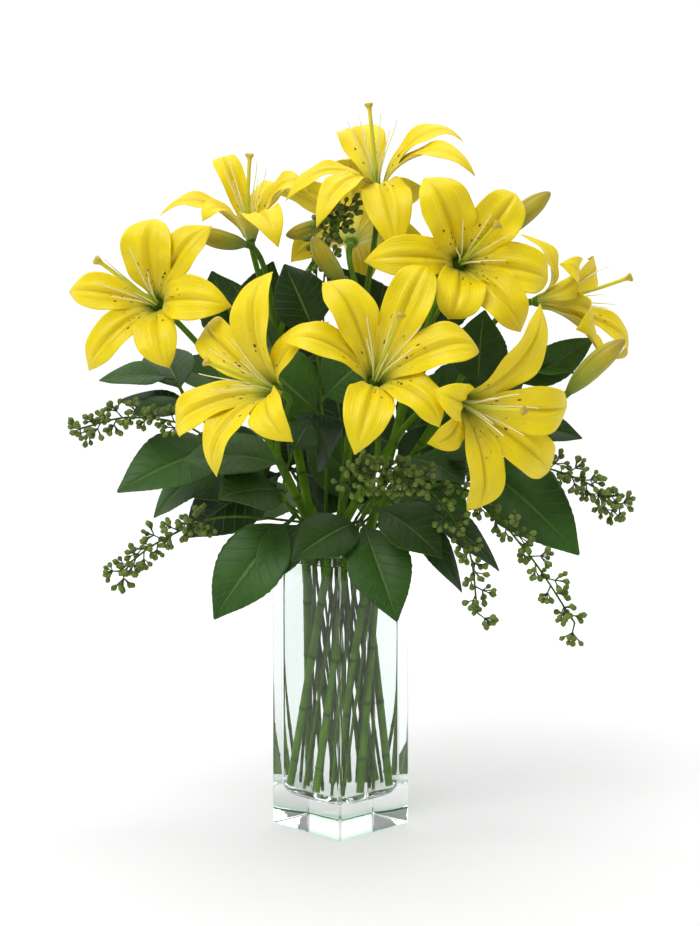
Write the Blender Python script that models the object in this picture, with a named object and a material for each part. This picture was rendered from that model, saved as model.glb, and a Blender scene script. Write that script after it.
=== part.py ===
"""Yellow lilies with salal and seeded eucalyptus in a square glass vase of water.

Blender units are metres and +Z is up; the tables below are in millimetres, and the
heights of the plants in them are measured from the rim of the vase.
The origin is the centre of the vase's underside. One edge of the vase and the
front of the bouquet face -Y. Each physical piece is one named object.
"""
import math

import bmesh
import bpy
from mathutils import Vector

MM = 0.001

# Vase and water
VASE_SIDE = 82.5
VASE_HEIGHT = 232.0
VASE_WALL = 5.0
VASE_TURN = math.radians(45.0)
CAVITY_HALF = VASE_SIDE / 2 - VASE_WALL
OUTER_CORNER = 3.0
CAVITY_CORNER = 12.0
CAVITY_FLOOR = 25.0
EDGE_ROUND = 1.0
CORNER_STEPS = 3
WATER_DROP = 10.0
WATER_GAP = 0.2
STEM_GAP = 0.35

# Stems: straight lines of two hyperboloids inside the vase
LILY_STEM_RADIUS = 3.9
THIN_STEM_RADIUS = 1.6
FOOT_CLEARANCE = 8.0
NECK_RISE = 18.0
GLASS_CLEARANCE = 3.35
NECK_INSET = 1.0
RING_GAP = 3.5
NECK_RING_GAP = 4.5
FOOT_HEIGHT = CAVITY_FLOOR + FOOT_CLEARANCE
NECK_HEIGHT = VASE_HEIGHT + NECK_RISE
# (foot radius, extra foot radius in the corners, neck radius, twist in degrees)
OUTER_FOOT = CAVITY_HALF - LILY_STEM_RADIUS - GLASS_CLEARANCE
OUTER_RING = (OUTER_FOOT, 9.0, OUTER_FOOT - NECK_INSET, 95.0)
STEM_PAIR = LILY_STEM_RADIUS + THIN_STEM_RADIUS
INNER_RING = (OUTER_RING[0] - STEM_PAIR - RING_GAP, 0.0,
              OUTER_RING[2] - STEM_PAIR - NECK_RING_GAP, -110.0)

# Flowers
TEPAL_THICKNESS = 0.9
CLAW_RING = 5.0
CLAW_DEPTH = 8.0
RECEPTACLE_DEPTH = 14.0
RECEPTACLE_TOP = 4.0
RECEPTACLE_RADIUS = 6.2
PISTIL_GAP = 0.5
PEDICEL_RADIUS = 2.6
PEDICEL_GAP = 0.3
PISTIL_RADIUS = 1.5
FILAMENT_RADIUS = 0.6
FILAMENT_RISE = 54.0
FILAMENT_REACH = 20.0
TEPAL_ROWS = (0.0, 0.24, 0.45, 0.68, 0.87, 1.0)
TEPAL_OUTLINE = ((0.0, 0.27), (0.15, 0.40), (0.35, 0.80), (0.55, 1.0),
                 (0.75, 0.88), (0.9, 0.52), (1.0, 0.10))

# Leaves
LEAF_THICKNESS = 0.7
LEAF_ROWS = (0.0, 0.12, 0.32, 0.55, 0.82, 1.0)
LEAF_OUTLINE = ((0.0, 0.07), (0.12, 0.09), (0.2, 0.5), (0.3, 0.82), (0.45, 1.0),
                (0.6, 0.95), (0.78, 0.62), (0.92, 0.24), (1.0, 0.04))

# Buds and seeds
SEED_RADIUS = 2.5
SEED_RADII = (0.7, 0.8, SEED_RADIUS, 0.5)
BUD_SIDES = 8

# Heights in these tables are measured from the rim of the vase.
# name: (throat, yaw, pitch, pistil tip, tepals). Yaw turns from -Y towards +X.
# A pistil tip is (clock, reach, rise); a tepal is (clock, reach, rise, width),
# with the clock angle seen from in front of the flower, 0 upwards.
FLOWERS = {
    "left": ((-150, -40, 206), -12, 12, (305, 40, 52), (
        (275, 72, 18, 30), (5, 70, 32, 42), (42, 80, 26, 32),
        (98, 78, 32, 36), (160, 66, 22, 36), (220, 80, 14, 30))),
    "back_left": ((-78, 45, 272), -10, 58, (20, 16, 62), (
        (325, 58, 46, 24), (268, 80, 18, 24), (225, 48, 28, 30),
        (150, 86, 26, 32), (78, 60, 36, 36), (28, 66, 12, 30))),
    "top": ((30, 20, 308), -5, 58, (345, 18, 64), (
        (335, 70, 22, 40), (248, 84, 4, 27), (210, 92, 4, 27),
        (76, 80, 34, 28), (108, 94, 26, 28), (165, 86, -18, 40))),
    "upper_right": ((97, -55, 238), 10, 8, (40, 24, 58), (
        (330, 76, 34, 42), (38, 70, 32, 38), (268, 88, 20, 34),
        (200, 62, 36, 40), (105, 78, 22, 40), (145, 78, 26, 36))),
    "front": ((28, -105, 146), 10, 32, (30, 22, 62), (
        (327, 80, 42, 36), (285, 82, 28, 30), (28, 98, 40, 36),
        (83, 86, 32, 38), (199, 80, 14, 38), (139, 72, 18, 34))),
    "front_left": ((-54, -95, 138), -38, 18, (280, 18, 60), (
        (306, 94, 14, 34), (2, 90, 34, 36), (42, 74, 6, 22),
        (236, 90, 26, 34), (193, 84, 26, 32), (134, 74, 26, 32))),
    "front_right": ((98, -95, 126), 32, -12, (60, 16, 58), (
        (28, 98, 24, 32), (86, 84, 32, 38), (126, 94, 28, 36),
        (179, 90, 28, 36), (289, 58, 32, 30), (235, 54, 18, 26))),
    "far_right": ((173, 0, 209), 70, 5, (20, 14, 70), (
        (345, 64, -8, 28), (298, 60, 30, 30), (52, 58, 30, 26),
        (240, 62, 40, 34), (136, 80, 50, 28), (195, 80, 36, 30))),
    "back": ((10, 105, 268), 170, 38, (10, 16, 62), (
        (0, 78, 24, 34), (58, 84, 20, 32), (120, 80, 24, 36),
        (180, 76, 26, 32), (238, 82, 20, 36), (300, 80, 24, 32))),
}

# name: (base, tip, radius)
BUDS = {
    "left": ((-80, 8, 256), (-118, -42, 264), 8.0),
    "right": ((134, 10, 262), (174, 0, 298), 9.0),
    "far_right": ((184, -52, 134), (226, -68, 176), 9.0),
    "centre": ((2, -28, 224), (-22, -52, 258), 8.0),
    "top_left": ((-14, 30, 276), (-46, 22, 264), 7.0),
}

# name: (slot angle, fork, flowers, buds, narrow leaves as (height share, tip, width))
LILY_STEMS = {
    "far_right": (30, (88, 25, 118), ("far_right",), ("far_right",), ()),
    "top": (90, (18, 45, 188), ("top", "back"), (), ((0.6, (70, 60, 198), 18),)),
    "back_left": (150, (-55, 38, 178), ("back_left",), ("left", "top_left"),
                  ((0.75, (-90, -5, 223), 18), (0.7, (-90, 80, 208), 18))),
    "left": (210, (-52, -22, 80), ("left", "front_left"), (), ()),
    "front": (270, (26, -42, 68), ("front", "front_right"), (), ()),
    "upper_right": (330, (62, -8, 158), ("upper_right",), ("right", "centre"),
                    ((0.7, (110, 90, 188), 20),)),
}

# name: (ring, slot angle, path above the neck, leaves)
# A leaf is (path share, tip, width, the way its upper face looks).
SALAL = {
    "left": (OUTER_RING, 180, ((-80, 5, 78), (-120, 10, 113), (-140, 15, 143)), (
        (0.40, (-180, -50, 53), 52, (-0.2, -0.8, 0.5)),
        (0.36, (-158, 15, 26), 44, (-0.4, -0.6, 0.6)),
        (0.72, (-172, -20, 113), 24, (-0.1, -0.7, 0.7)),
        (0.66, (-190, 30, 124), 26, (-0.2, -0.5, 0.8)),
        (1.0, (-203, 12, 142), 28, (-0.1, -0.6, 0.8)),
        (0.85, (-165, 70, 168), 40, (-0.4, 0.4, 0.8)))),
    "front_left": (OUTER_RING, 240, ((-38, -55, 36), (-45, -68, 58), (-38, -68, 88)), (
        (0.30, (-100, -78, -46), 50, (-0.3, -0.9, 0.2)),
        (0.22, (-66, -82, -20), 32, (0.0, -0.9, 0.3)),
        (0.62, (-94, -102, 52), 50, (-0.1, -0.7, 0.7)),
        (0.86, (-125, -66, 80), 46, (0.0, -0.6, 0.8)),
        (1.0, (-24, -78, 113), 26, (0.3, -0.9, 0.1)))),
    "front": (OUTER_RING, 300, ((18, -52, 34), (28, -62, 44), (45, -55, 53)), (
        (0.18, (-38, -88, 2), 40, (0.0, -0.8, 0.6)),
        (0.25, (45, -90, -46), 46, (0.1, -0.95, 0.2)),
        (0.62, (80, -88, 4), 46, (0.2, -0.7, 0.7)),
        (0.85, (98, -60, -27), 30, (0.4, -0.6, 0.6)),
        (1.0, (128, -58, -10), 30, (0.4, -0.6, 0.6)))),
    "right": (OUTER_RING, 0, ((80, 10, 58), (120, 12, 98), (150, 14, 148)), (
        (0.52, (196, -32, 0), 60, (0.3, -0.9, 0.3)),
        (0.72, (202, 0, 94), 34, (0.3, -0.7, 0.6)),
        (1.0, (196, 4, 148), 30, (0.1, -0.4, 0.9)),
        (0.92, (214, 20, 178), 28, (0.4, -0.8, 0.2)),
        (0.35, (150, 60, 58), 50, (0.5, 0.4, 0.8)))),
    "centre_left": (INNER_RING, 135, ((-12, -6, 78), (-16, -2, 128), (-20, -8, 178)), (
        (0.30, (-22, -60, 116), 40, (0.1, -0.8, 0.5)),
        (0.55, (-80, 0, 170), 50, (-0.2, -0.8, 0.5)),
        (0.65, (34, -28, 172), 46, (0.0, -0.9, 0.3)),
        (1.0, (-46, -14, 238), 42, (0.0, -0.9, 0.3)))),
    "centre_right": (INNER_RING, 35, ((48, 12, 68), (85, -10, 98), (112, -22, 133)), (
        (0.62, (140, -52, 90), 46, (0.1, -0.8, 0.5)),
        (0.85, (152, -30, 153), 40, (0.2, -0.8, 0.5)),
        (1.0, (118, -30, 200), 40, (0.0, -0.9, 0.3)),
        (0.4, (100, -50, 60), 46, (0.1, -0.7, 0.6)))),
    "back_right": (OUTER_RING, 60, ((52, 85, 68), (68, 112, 118), (72, 118, 178)), (
        (0.2, (20, 120, 18), 52, (0.1, 0.9, 0.4)),
        (0.4, (145, 115, 53), 54, (0.6, 0.7, 0.4)),
        (0.5, (70, 190, 68), 50, (0.0, 0.9, 0.5)),
        (0.68, (150, 95, 143), 50, (0.6, 0.3, 0.7)),
        (0.8, (28, 122, 208), 44, (-0.2, -0.9, 0.2)),
        (1.0, (110, 110, 248), 48, (0.2, -0.9, 0.2)),
        (0.14, (-30, 62, 96), 44, (0.0, -0.9, 0.2)),
        (0.3, (112, 62, 8), 50, (0.1, -0.9, 0.3)),
        (0.45, (90, 84, 150), 46, (0.1, -0.9, 0.2)),
        (0.9, (75, 190, 208), 46, (0.2, 0.7, 0.7)))),
    "back_left": (OUTER_RING, 120, ((-48, 85, 68), (-72, 112, 113), (-80, 118, 168)), (
        (0.2, (-90, 100, 13), 52, (-0.4, 0.8, 0.4)),
        (0.4, (-150, 90, 68), 54, (-0.6, 0.6, 0.5)),
        (0.5, (-60, 185, 78), 50, (0.0, 0.9, 0.5)),
        (0.68, (-160, 105, 153), 50, (-0.6, 0.3, 0.7)),
        (0.8, (-28, 112, 198), 46, (0.2, -0.9, 0.2)),
        (1.0, (-115, 105, 238), 48, (-0.2, -0.9, 0.2)),
        (0.3, (-138, 76, 2), 52, (-0.1, -0.9, 0.3)),
        (0.36, (-150, 62, 44), 50, (-0.1, -0.9, 0.3)),
        (0.28, (8, 98, 104), 46, (0.0, -0.9, 0.2)),
        (0.9, (-70, 190, 208), 46, (-0.2, 0.7, 0.7)))),
}

# name: (ring, slot angle, path above the neck, seeds, stalk length, first share)
EUCALYPTUS = {
    "right": (INNER_RING, 345, ((95, -22, 64), (150, -28, 74), (200, -24, 60),
                                (230, -22, 38)), 18, 16, 0.6),
    "top": (INNER_RING, 75, ((0, 20, 108), (-12, 5, 168), (-14, -6, 218), (-8, -4, 263),
                             (-2, -4, 284)), 20, 18, 0.6),
    "left": (INNER_RING, 195, ((-72, -20, 60), (-120, -30, 103), (-170, -38, 113),
                               (-212, -38, 104)), 18, 14, 0.55),
    "lower_left": (INNER_RING, 225, ((-46, -46, 30), (-100, -50, 32), (-145, -55, 14),
                                     (-178, -60, -10)), 20, 15, 0.5),
    "centre": (INNER_RING, 255, ((4, -62, 56), (14, -88, 70), (34, -100, 74),
                                 (62, -106, 64)), 24, 18, 0.4),
    "low": (INNER_RING, 295, ((40, -47, 62), (72, -86, 56), (100, -98, 14), (108, -98, -38)),
            16, 13, 0.5),
    "lower_right": (INNER_RING, 315, ((60, -44, 54), (102, -74, 56), (148, -84, 8),
                                      (186, -84, -48)), 22, 15, 0.45),
}

PETAL = ((0.86, 0.72, 0.02), 0.45)
STYLE = ((0.62, 0.66, 0.10), 0.5)
STEM = ((0.16, 0.33, 0.05), 0.5)
LEAF = ((0.04, 0.13, 0.03), 0.42)
SEED = ((0.20, 0.27, 0.09), 0.6)
BUD = ((0.50, 0.52, 0.08), 0.5)
GLASS = ((0.90, 0.96, 0.94), 0.02)
WATER = ((0.92, 0.97, 0.96), 0.02)


def clear_scene():
    for obj in list(bpy.data.objects):
        bpy.data.objects.remove(obj, do_unlink=True)


def set_material(obj, colour, roughness):
    material = bpy.data.materials.new(obj.name)
    material.use_nodes = True
    shader = material.node_tree.nodes["Principled BSDF"]
    shader.inputs["Base Color"].default_value = (*colour, 1.0)
    shader.inputs["Roughness"].default_value = roughness
    shader.inputs["Metallic"].default_value = 0.0
    obj.data.materials.append(material)


def mesh_object(name, points, faces, collection=None):
    """An object from points in millimetres and faces, wound outwards."""
    mesh = bpy.data.meshes.new(name)
    mesh.from_pydata([Vector(p) * MM for p in points], [], faces)
    work = bmesh.new()
    work.from_mesh(mesh)
    bmesh.ops.recalc_face_normals(work, faces=work.faces)
    work.to_mesh(mesh)
    work.free()
    mesh.shade_smooth()
    obj = bpy.data.objects.new(name, mesh)
    (collection or bpy.context.scene.collection).objects.link(obj)
    if collection:
        obj.hide_render = True
        obj.display_type = "WIRE"
    return obj


def tool_collection(name):
    collection = bpy.data.collections.new(name + "_pieces")
    bpy.context.scene.collection.children.link(collection)
    collection.hide_render = True
    return collection


def add_boolean(obj, collection, operation):
    modifier = obj.modifiers.new(operation.title(), "BOOLEAN")
    modifier.operation = operation
    modifier.solver = "EXACT"
    modifier.operand_type = "COLLECTION"
    modifier.collection = collection


def loft_object(name, rings, collection=None):
    """A closed solid through rings with the same number of points each."""
    count = len(rings[0])
    points = [p for ring in rings for p in ring]
    faces = []
    for row in range(len(rings) - 1):
        for i in range(count):
            j = (i + 1) % count
            low, high = row * count, (row + 1) * count
            faces.append((low + i, low + j, high + j, high + i))
    faces.append(tuple(range(count))[::-1])
    faces.append(tuple(range((len(rings) - 1) * count, len(rings) * count)))
    return mesh_object(name, points, faces, collection)


def square_ring(half, corner, z):
    """A square with rounded corners, turned with the vase."""
    ring = []
    for quarter in range(4):
        for step in range(CORNER_STEPS + 1):
            angle = math.radians(90.0) * (quarter + step / CORNER_STEPS)
            centre = math.radians(90.0) * (quarter + 0.5)
            spread = (half - corner) * math.sqrt(2.0)
            x = spread * math.cos(centre) + corner * math.cos(angle)
            y = spread * math.sin(centre) + corner * math.sin(angle)
            ring.append((x * math.cos(VASE_TURN) - y * math.sin(VASE_TURN),
                         x * math.sin(VASE_TURN) + y * math.cos(VASE_TURN), z))
    return ring


def cavity_rings(gap, top):
    """The inside of the vase from its curved floor up to top, shrunk by gap."""
    profile = ((19.0, 9.0, 0.0), (9.0, 14.0, 0.8), (3.5, 14.0, 3.6), (0.8, 13.0, 8.0),
               (0.0, CAVITY_CORNER, 14.0))
    rings = [square_ring(CAVITY_HALF - inset - gap, corner - gap, CAVITY_FLOOR + gap + rise)
             for inset, corner, rise in profile]
    rings.append(square_ring(CAVITY_HALF - gap, CAVITY_CORNER - gap, top))
    return rings


def make_vase():
    half = VASE_SIDE / 2
    outside = [square_ring(half - EDGE_ROUND, OUTER_CORNER, 0.0),
               square_ring(half, OUTER_CORNER, EDGE_ROUND),
               square_ring(half, OUTER_CORNER, VASE_HEIGHT - EDGE_ROUND),
               square_ring(half - EDGE_ROUND, OUTER_CORNER, VASE_HEIGHT)]
    rim = [square_ring(CAVITY_HALF + EDGE_ROUND, CAVITY_CORNER, VASE_HEIGHT)]
    inside = cavity_rings(0.0, VASE_HEIGHT - EDGE_ROUND)[::-1]
    vase = loft_object("vase", outside + rim + inside)
    vase.data.set_sharp_from_angle(angle=math.radians(35))
    set_material(vase, *GLASS)


def spline(points, steps, first=None):
    """A smooth curve through points, starting along first if it is given."""
    pts = [Vector(p) for p in points]
    before = pts[0] - (first if first else pts[1] - pts[0])
    after = pts[-1] + (pts[-1] - pts[-2])
    pts = [before] + pts + [after]
    curve = []
    for i in range(1, len(pts) - 2):
        a, b, c, d = pts[i - 1:i + 3]
        for k in range(steps):
            t = k / steps
            curve.append(0.5 * (2 * b + (c - a) * t + (2 * a - 5 * b + 4 * c - d) * t ** 2
                                + (3 * b - a - 3 * c + d) * t ** 3))
    curve.append(pts[-2])
    return curve


def bezier(a, b, c, d, t):
    s = 1.0 - t
    return a * s ** 3 + b * 3 * s * s * t + c * 3 * s * t * t + d * t ** 3


def tube_object(name, path, radii, sides, collection=None):
    """A closed round tube along path; radii holds one radius for each point."""
    path = [Vector(p) for p in path]
    tangent = (path[1] - path[0]).normalized()
    normal = tangent.orthogonal().normalized()
    rings = []
    for i, point in enumerate(path):
        ahead = path[min(i + 1, len(path) - 1)] - path[max(i - 1, 0)]
        tangent = ahead.normalized()
        normal = (normal - tangent * normal.dot(tangent)).normalized()
        side = tangent.cross(normal)
        ring = []
        for k in range(sides):
            angle = 2 * math.pi * k / sides
            ring.append(point + (normal * math.cos(angle) + side * math.sin(angle)) * radii[i])
        rings.append(ring)
    return loft_object(name, rings, collection)


def outline(table, share):
    """The width share of a blade at this share of its length."""
    for (s0, w0), (s1, w1) in zip(table, table[1:]):
        if share <= s1:
            t = (share - s0) / (s1 - s0)
            return w0 + (w1 - w0) * t
    return table[-1][1]


def blade_object(name, spine, side, width, table, rows, columns, cup, thickness, collection):
    """A thin closed blade along spine, with cup(share, across) raising its edges."""
    grid = []
    for share in rows:
        point = spine(share)
        ahead = (spine(min(share + 0.02, 1.0)) - spine(max(share - 0.02, 0.0))).normalized()
        across = (side - ahead * side.dot(ahead)).normalized()
        normal = across.cross(ahead)
        half = 0.5 * width * outline(table, share)
        for column in range(columns + 1):
            u = 2.0 * column / columns - 1.0
            grid.append(point + across * (u * half) + normal * (half * cup(share, u)))
    faces = []
    for row in range(len(rows) - 1):
        for column in range(columns):
            a = row * (columns + 1) + column
            faces.append((a, a + 1, a + columns + 2, a + columns + 1))
    blade = mesh_object(name, grid, faces, collection)
    solid = blade.modifiers.new("Thickness", "SOLIDIFY")
    solid.thickness = thickness * MM
    solid.offset = 0.0
    return blade


def from_rim(point):
    """A point whose height is measured from the rim of the vase."""
    return Vector(point) + Vector((0.0, 0.0, VASE_HEIGHT))


def facing(yaw, pitch):
    """The axis of a flower, its upward direction and its right-hand direction."""
    yaw, pitch = math.radians(yaw), math.radians(pitch)
    axis = Vector((math.sin(yaw) * math.cos(pitch), -math.cos(yaw) * math.cos(pitch),
                   math.sin(pitch)))
    upward = (Vector((0, 0, 1)) - axis * axis.z).normalized()
    return axis, upward, upward.cross(axis)


def around(upward, right, clock):
    angle = math.radians(clock)
    return upward * math.cos(angle) + right * math.sin(angle)


def tepal_spine(throat, axis, radial, reach, rise):
    length = math.hypot(reach, rise)
    start = throat - axis * CLAW_DEPTH + radial * CLAW_RING
    lift = start + axis * (0.36 * length) + radial * (0.10 * length)
    tip = throat + radial * reach + axis * rise
    crest = tip - radial * (0.34 * length) + axis * (0.28 * length)
    return lambda share: bezier(start, lift, crest, tip, share)


def tepal_cup(share, u):
    return (0.55 - 0.8 * share) * u * u


def make_petals(name, throat, yaw, pitch, tepals):
    throat = from_rim(throat)
    axis, upward, right = facing(yaw, pitch)
    base = throat - axis * RECEPTACLE_DEPTH
    path = [base, throat - axis * RECEPTACLE_TOP]
    petals = tube_object("lily_" + name + "_petals", path, (3.4, RECEPTACLE_RADIUS), 8)
    pieces = tool_collection(petals.name)
    for index, (clock, reach, rise, width) in enumerate(tepals):
        radial = around(upward, right, clock)
        spine = tepal_spine(throat, axis, radial, reach, rise)
        blade_object(f"{petals.name}_{index}", spine, axis.cross(radial), width,
                     TEPAL_OUTLINE, TEPAL_ROWS, 3, tepal_cup, TEPAL_THICKNESS, pieces)
    add_boolean(petals, pieces, "UNION")
    set_material(petals, *PETAL)


def make_pistil(name, throat, yaw, pitch, tip):
    """The pistil with its three-lobed stigma, and six filaments round it."""
    throat = from_rim(throat)
    axis, upward, right = facing(yaw, pitch)
    clock, reach, rise = tip
    lean = around(upward, right, clock)
    start = throat - axis * (RECEPTACLE_TOP - PISTIL_GAP)
    end = throat + lean * reach + axis * rise
    curve = [bezier(start, start + axis * 24, end - axis * 16 - lean * reach * 0.35, end, t)
             for t in (0.0, 0.06, 0.22, 0.3, 0.6, 0.93, 0.97, 1.0)]
    radii = (3.2, 2.0, 2.2, 1.4, PISTIL_RADIUS, 1.8, 3.4, 2.6)
    pistil = tube_object("lily_" + name + "_pistil", curve, radii, 6)
    pieces = tool_collection(pistil.name)
    for index in range(6):
        out = around(upward, right, 60 * index + 15)
        root = start + axis * 0.6 + out * 2.2
        far = throat + axis * FILAMENT_RISE + out * FILAMENT_REACH + lean * (0.35 * reach)
        mid = root + axis * 26 + out * 2
        path = [bezier(root, mid, far - axis * 18 - out * 4, far, t / 3) for t in range(4)]
        tube_object(f"{pistil.name}_{index}", path, (FILAMENT_RADIUS,) * 4, 3, pieces)
    add_boolean(pistil, pieces, "UNION")
    set_material(pistil, *STYLE)


def make_bud(name, base, tip, radius):
    base, tip = from_rim(base), from_rim(tip)
    shares = (0.0, 0.08, 0.25, 0.5, 0.75, 0.93, 1.0)
    sizes = (0.34, 0.55, 0.82, 1.0, 0.86, 0.45, 0.12)
    path = [base.lerp(tip, share) for share in shares]
    bud = tube_object("bud_" + name, path, [radius * size for size in sizes], BUD_SIDES)
    set_material(bud, *BUD)


def neck_line(ring, slot):
    """The foot and the neck point of a stem standing in this slot of a ring."""
    foot_radius, corner_extra, neck_radius, twist = ring
    high = math.radians(slot)
    low = high - math.radians(twist)
    foot_radius += corner_extra * max(0.0, math.cos(4 * low))
    foot = Vector((foot_radius * math.cos(low), foot_radius * math.sin(low), FOOT_HEIGHT))
    neck = Vector((neck_radius * math.cos(high), neck_radius * math.sin(high), NECK_HEIGHT))
    return foot, neck


def stem_path(ring, slot, above, steps):
    foot, neck = neck_line(ring, slot)
    along = (neck - foot).normalized()
    rest = spline([neck] + [from_rim(p) for p in above], steps, along * 30)
    return [foot, foot.lerp(neck, 0.5)] + rest


def share_point(path, share, skip):
    """A point at this share of the path's part after its first skip points."""
    place = skip + share * (len(path) - 1 - skip)
    low = min(int(place), len(path) - 2)
    return path[low].lerp(path[low + 1], place - low)


def flower_base(name):
    throat, yaw, pitch = FLOWERS[name][:3]
    axis = facing(yaw, pitch)[0]
    return from_rim(throat) - axis * (RECEPTACLE_DEPTH + PEDICEL_GAP), axis


def bud_base(name):
    base, tip = from_rim(BUDS[name][0]), from_rim(BUDS[name][1])
    axis = (tip - base).normalized()
    return base - axis * PEDICEL_GAP, axis


def make_leaf(name, start, tip, width, face, collection, bend=0.12):
    """A pointed leaf from start to tip, its upper side towards face."""
    tip, face = from_rim(tip), Vector(face)
    run = tip - start
    side = run.cross(face).normalized()
    rise = side.cross(run).normalized() * (bend * run.length)
    lift, crest = start + run * 0.3 + rise, start + run * 0.7 + rise
    return blade_object(name, lambda s: bezier(start, lift, crest, tip, s), side, width,
                        LEAF_OUTLINE, LEAF_ROWS, 2, lambda s, u: 0.22 * abs(u),
                        LEAF_THICKNESS, collection)


def make_lily_stem(name, slot, fork, flowers, buds, leaves):
    path = stem_path(OUTER_RING, slot, (fork,), 5)
    taper = [LILY_STEM_RADIUS] * 3 + [LILY_STEM_RADIUS - 0.16 * k for k in range(len(path) - 3)]
    stem = tube_object("lily_stem_" + name, path, taper, 8)
    pieces = tool_collection(stem.name)
    fork = from_rim(fork)
    along = (path[-1] - path[-2]).normalized()
    ends = [flower_base(head) for head in flowers] + [bud_base(head) for head in buds]
    for index, (end, axis) in enumerate(ends):
        start = fork - along * (5 + 5 * index)
        far = (end - start).length
        last = end - axis * 3
        curve = [bezier(start, start + along * far * 0.4, last - axis * far * 0.3, last, t / 5)
                 for t in range(6)] + [end]
        tube_object(f"{stem.name}_{index}", curve, (PEDICEL_RADIUS,) * 7, 6, pieces)
    for index, (share, tip, width) in enumerate(leaves):
        start = share_point(path, share, 2)
        make_leaf(f"{stem.name}_leaf_{index}", start, tip, width, (0, 0.3, 0.95), pieces)
    add_boolean(stem, pieces, "UNION")
    set_material(stem, *STEM)


def make_salal(name, ring, slot, above, leaves):
    path = stem_path(ring, slot, above, 3)
    stem = tube_object("salal_" + name, path, (THIN_STEM_RADIUS,) * len(path), 5)
    pieces = tool_collection(stem.name)
    for index, (share, tip, width, face) in enumerate(leaves):
        start = share_point(path, share, 2)
        make_leaf(f"{stem.name}_leaf_{index}", start, tip, width, face, pieces)
    add_boolean(stem, pieces, "UNION")
    set_material(stem, *LEAF)


def make_eucalyptus(name, ring, slot, above, seeds, stalk, first):
    """A twig whose side stalks, set round it by the golden angle, widen into seeds."""
    path = stem_path(ring, slot, above, 3)
    radii = [THIN_STEM_RADIUS - 0.7 * k / len(path) for k in range(len(path))]
    twig = tube_object("eucalyptus_" + name, path, radii, 5)
    pieces = tool_collection(twig.name)
    for index in range(seeds):
        share = first + (1.0 - first) * index / (seeds - 1)
        start = share_point(path, share, 2)
        along = (share_point(path, min(share + 0.05, 1.0), 2)
                 - share_point(path, share - 0.05, 2)).normalized()
        across = along.orthogonal().normalized()
        turn = math.radians(137.5) * index
        out = across * math.cos(turn) + along.cross(across) * math.sin(turn)
        reach = (out + along * 0.7).normalized() * stalk * (1.0 - 0.25 * (index % 3))
        neck = start + reach * (1.0 - 1.1 * SEED_RADIUS / stalk)
        curve = (start, neck, start + reach, start + reach * (1.0 + SEED_RADIUS / stalk))
        tube_object(f"{twig.name}_seed_{index}", curve, SEED_RADII, 3, pieces)
    add_boolean(twig, pieces, "UNION")
    set_material(twig, *SEED)


def make_water():
    """The water fills the cavity up to its level, less the stems and a small gap."""
    water = loft_object("water", cavity_rings(WATER_GAP, VASE_HEIGHT - WATER_DROP))
    pieces = tool_collection("water")
    stems = [(OUTER_RING, row[0], LILY_STEM_RADIUS) for row in LILY_STEMS.values()]
    stems += [(row[0], row[1], THIN_STEM_RADIUS)
              for row in list(SALAL.values()) + list(EUCALYPTUS.values())]
    for index, (ring, slot, radius) in enumerate(stems):
        foot, neck = neck_line(ring, slot)
        along = (neck - foot).normalized()
        tube_object(f"water_hole_{index}", [foot - along * STEM_GAP, neck],
                    (radius + STEM_GAP,) * 2, 8, pieces)
    add_boolean(water, pieces, "DIFFERENCE")
    set_material(water, *WATER)


def main():
    clear_scene()
    bpy.context.scene.unit_settings.scale_length = 1.0
    make_vase()
    make_water()
    for name, (throat, yaw, pitch, tip, tepals) in FLOWERS.items():
        make_petals(name, throat, yaw, pitch, tepals)
        make_pistil(name, throat, yaw, pitch, tip)
    for name, row in BUDS.items():
        make_bud(name, *row)
    for name, row in LILY_STEMS.items():
        make_lily_stem(name, *row)
    for name, row in SALAL.items():
        make_salal(name, *row)
    for name, row in EUCALYPTUS.items():
        make_eucalyptus(name, *row)


main()
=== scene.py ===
"""Studio scene of yellow lilies, salal and seeded eucalyptus in a square glass vase.

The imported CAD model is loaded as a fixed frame. The glass, the water and every plant piece
are rebuilt finely where the frame holds them: the vase and water are measured from their CAD
nodes, and the plants repeat the growth tables of the part, in millimetres. Two things differ
from the part: the salal leaves are wider, and the two back sprigs have extra inner leaves.
"""

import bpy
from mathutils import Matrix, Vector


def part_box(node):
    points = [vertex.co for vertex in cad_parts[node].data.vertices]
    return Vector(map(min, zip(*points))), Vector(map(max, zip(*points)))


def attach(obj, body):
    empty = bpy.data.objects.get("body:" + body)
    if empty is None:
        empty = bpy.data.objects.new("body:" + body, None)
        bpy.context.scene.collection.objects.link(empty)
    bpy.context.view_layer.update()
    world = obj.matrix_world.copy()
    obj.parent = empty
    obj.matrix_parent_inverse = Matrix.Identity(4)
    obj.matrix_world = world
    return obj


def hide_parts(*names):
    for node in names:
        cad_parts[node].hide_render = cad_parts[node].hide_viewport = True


bl_info = {
    "name": "Lilies in a Vase",
    "version": (1, 0, 0),
    "blender": (4, 5, 0),
    "location": "View3D > Sidebar > Lilies",
    "description": "Builds yellow lilies, greenery, glass and water, and a small studio",
    "category": "Object",
}

import math
import random

import bpy
import numpy as np
from mathutils import Vector

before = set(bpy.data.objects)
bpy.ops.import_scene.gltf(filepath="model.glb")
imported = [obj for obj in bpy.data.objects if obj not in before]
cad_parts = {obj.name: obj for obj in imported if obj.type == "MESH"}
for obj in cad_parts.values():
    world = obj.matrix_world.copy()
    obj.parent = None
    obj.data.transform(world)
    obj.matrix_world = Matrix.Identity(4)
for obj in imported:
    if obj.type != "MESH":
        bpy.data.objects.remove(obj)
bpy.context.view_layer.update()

MM = 0.001
GOLDEN = math.radians(137.5)

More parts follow.
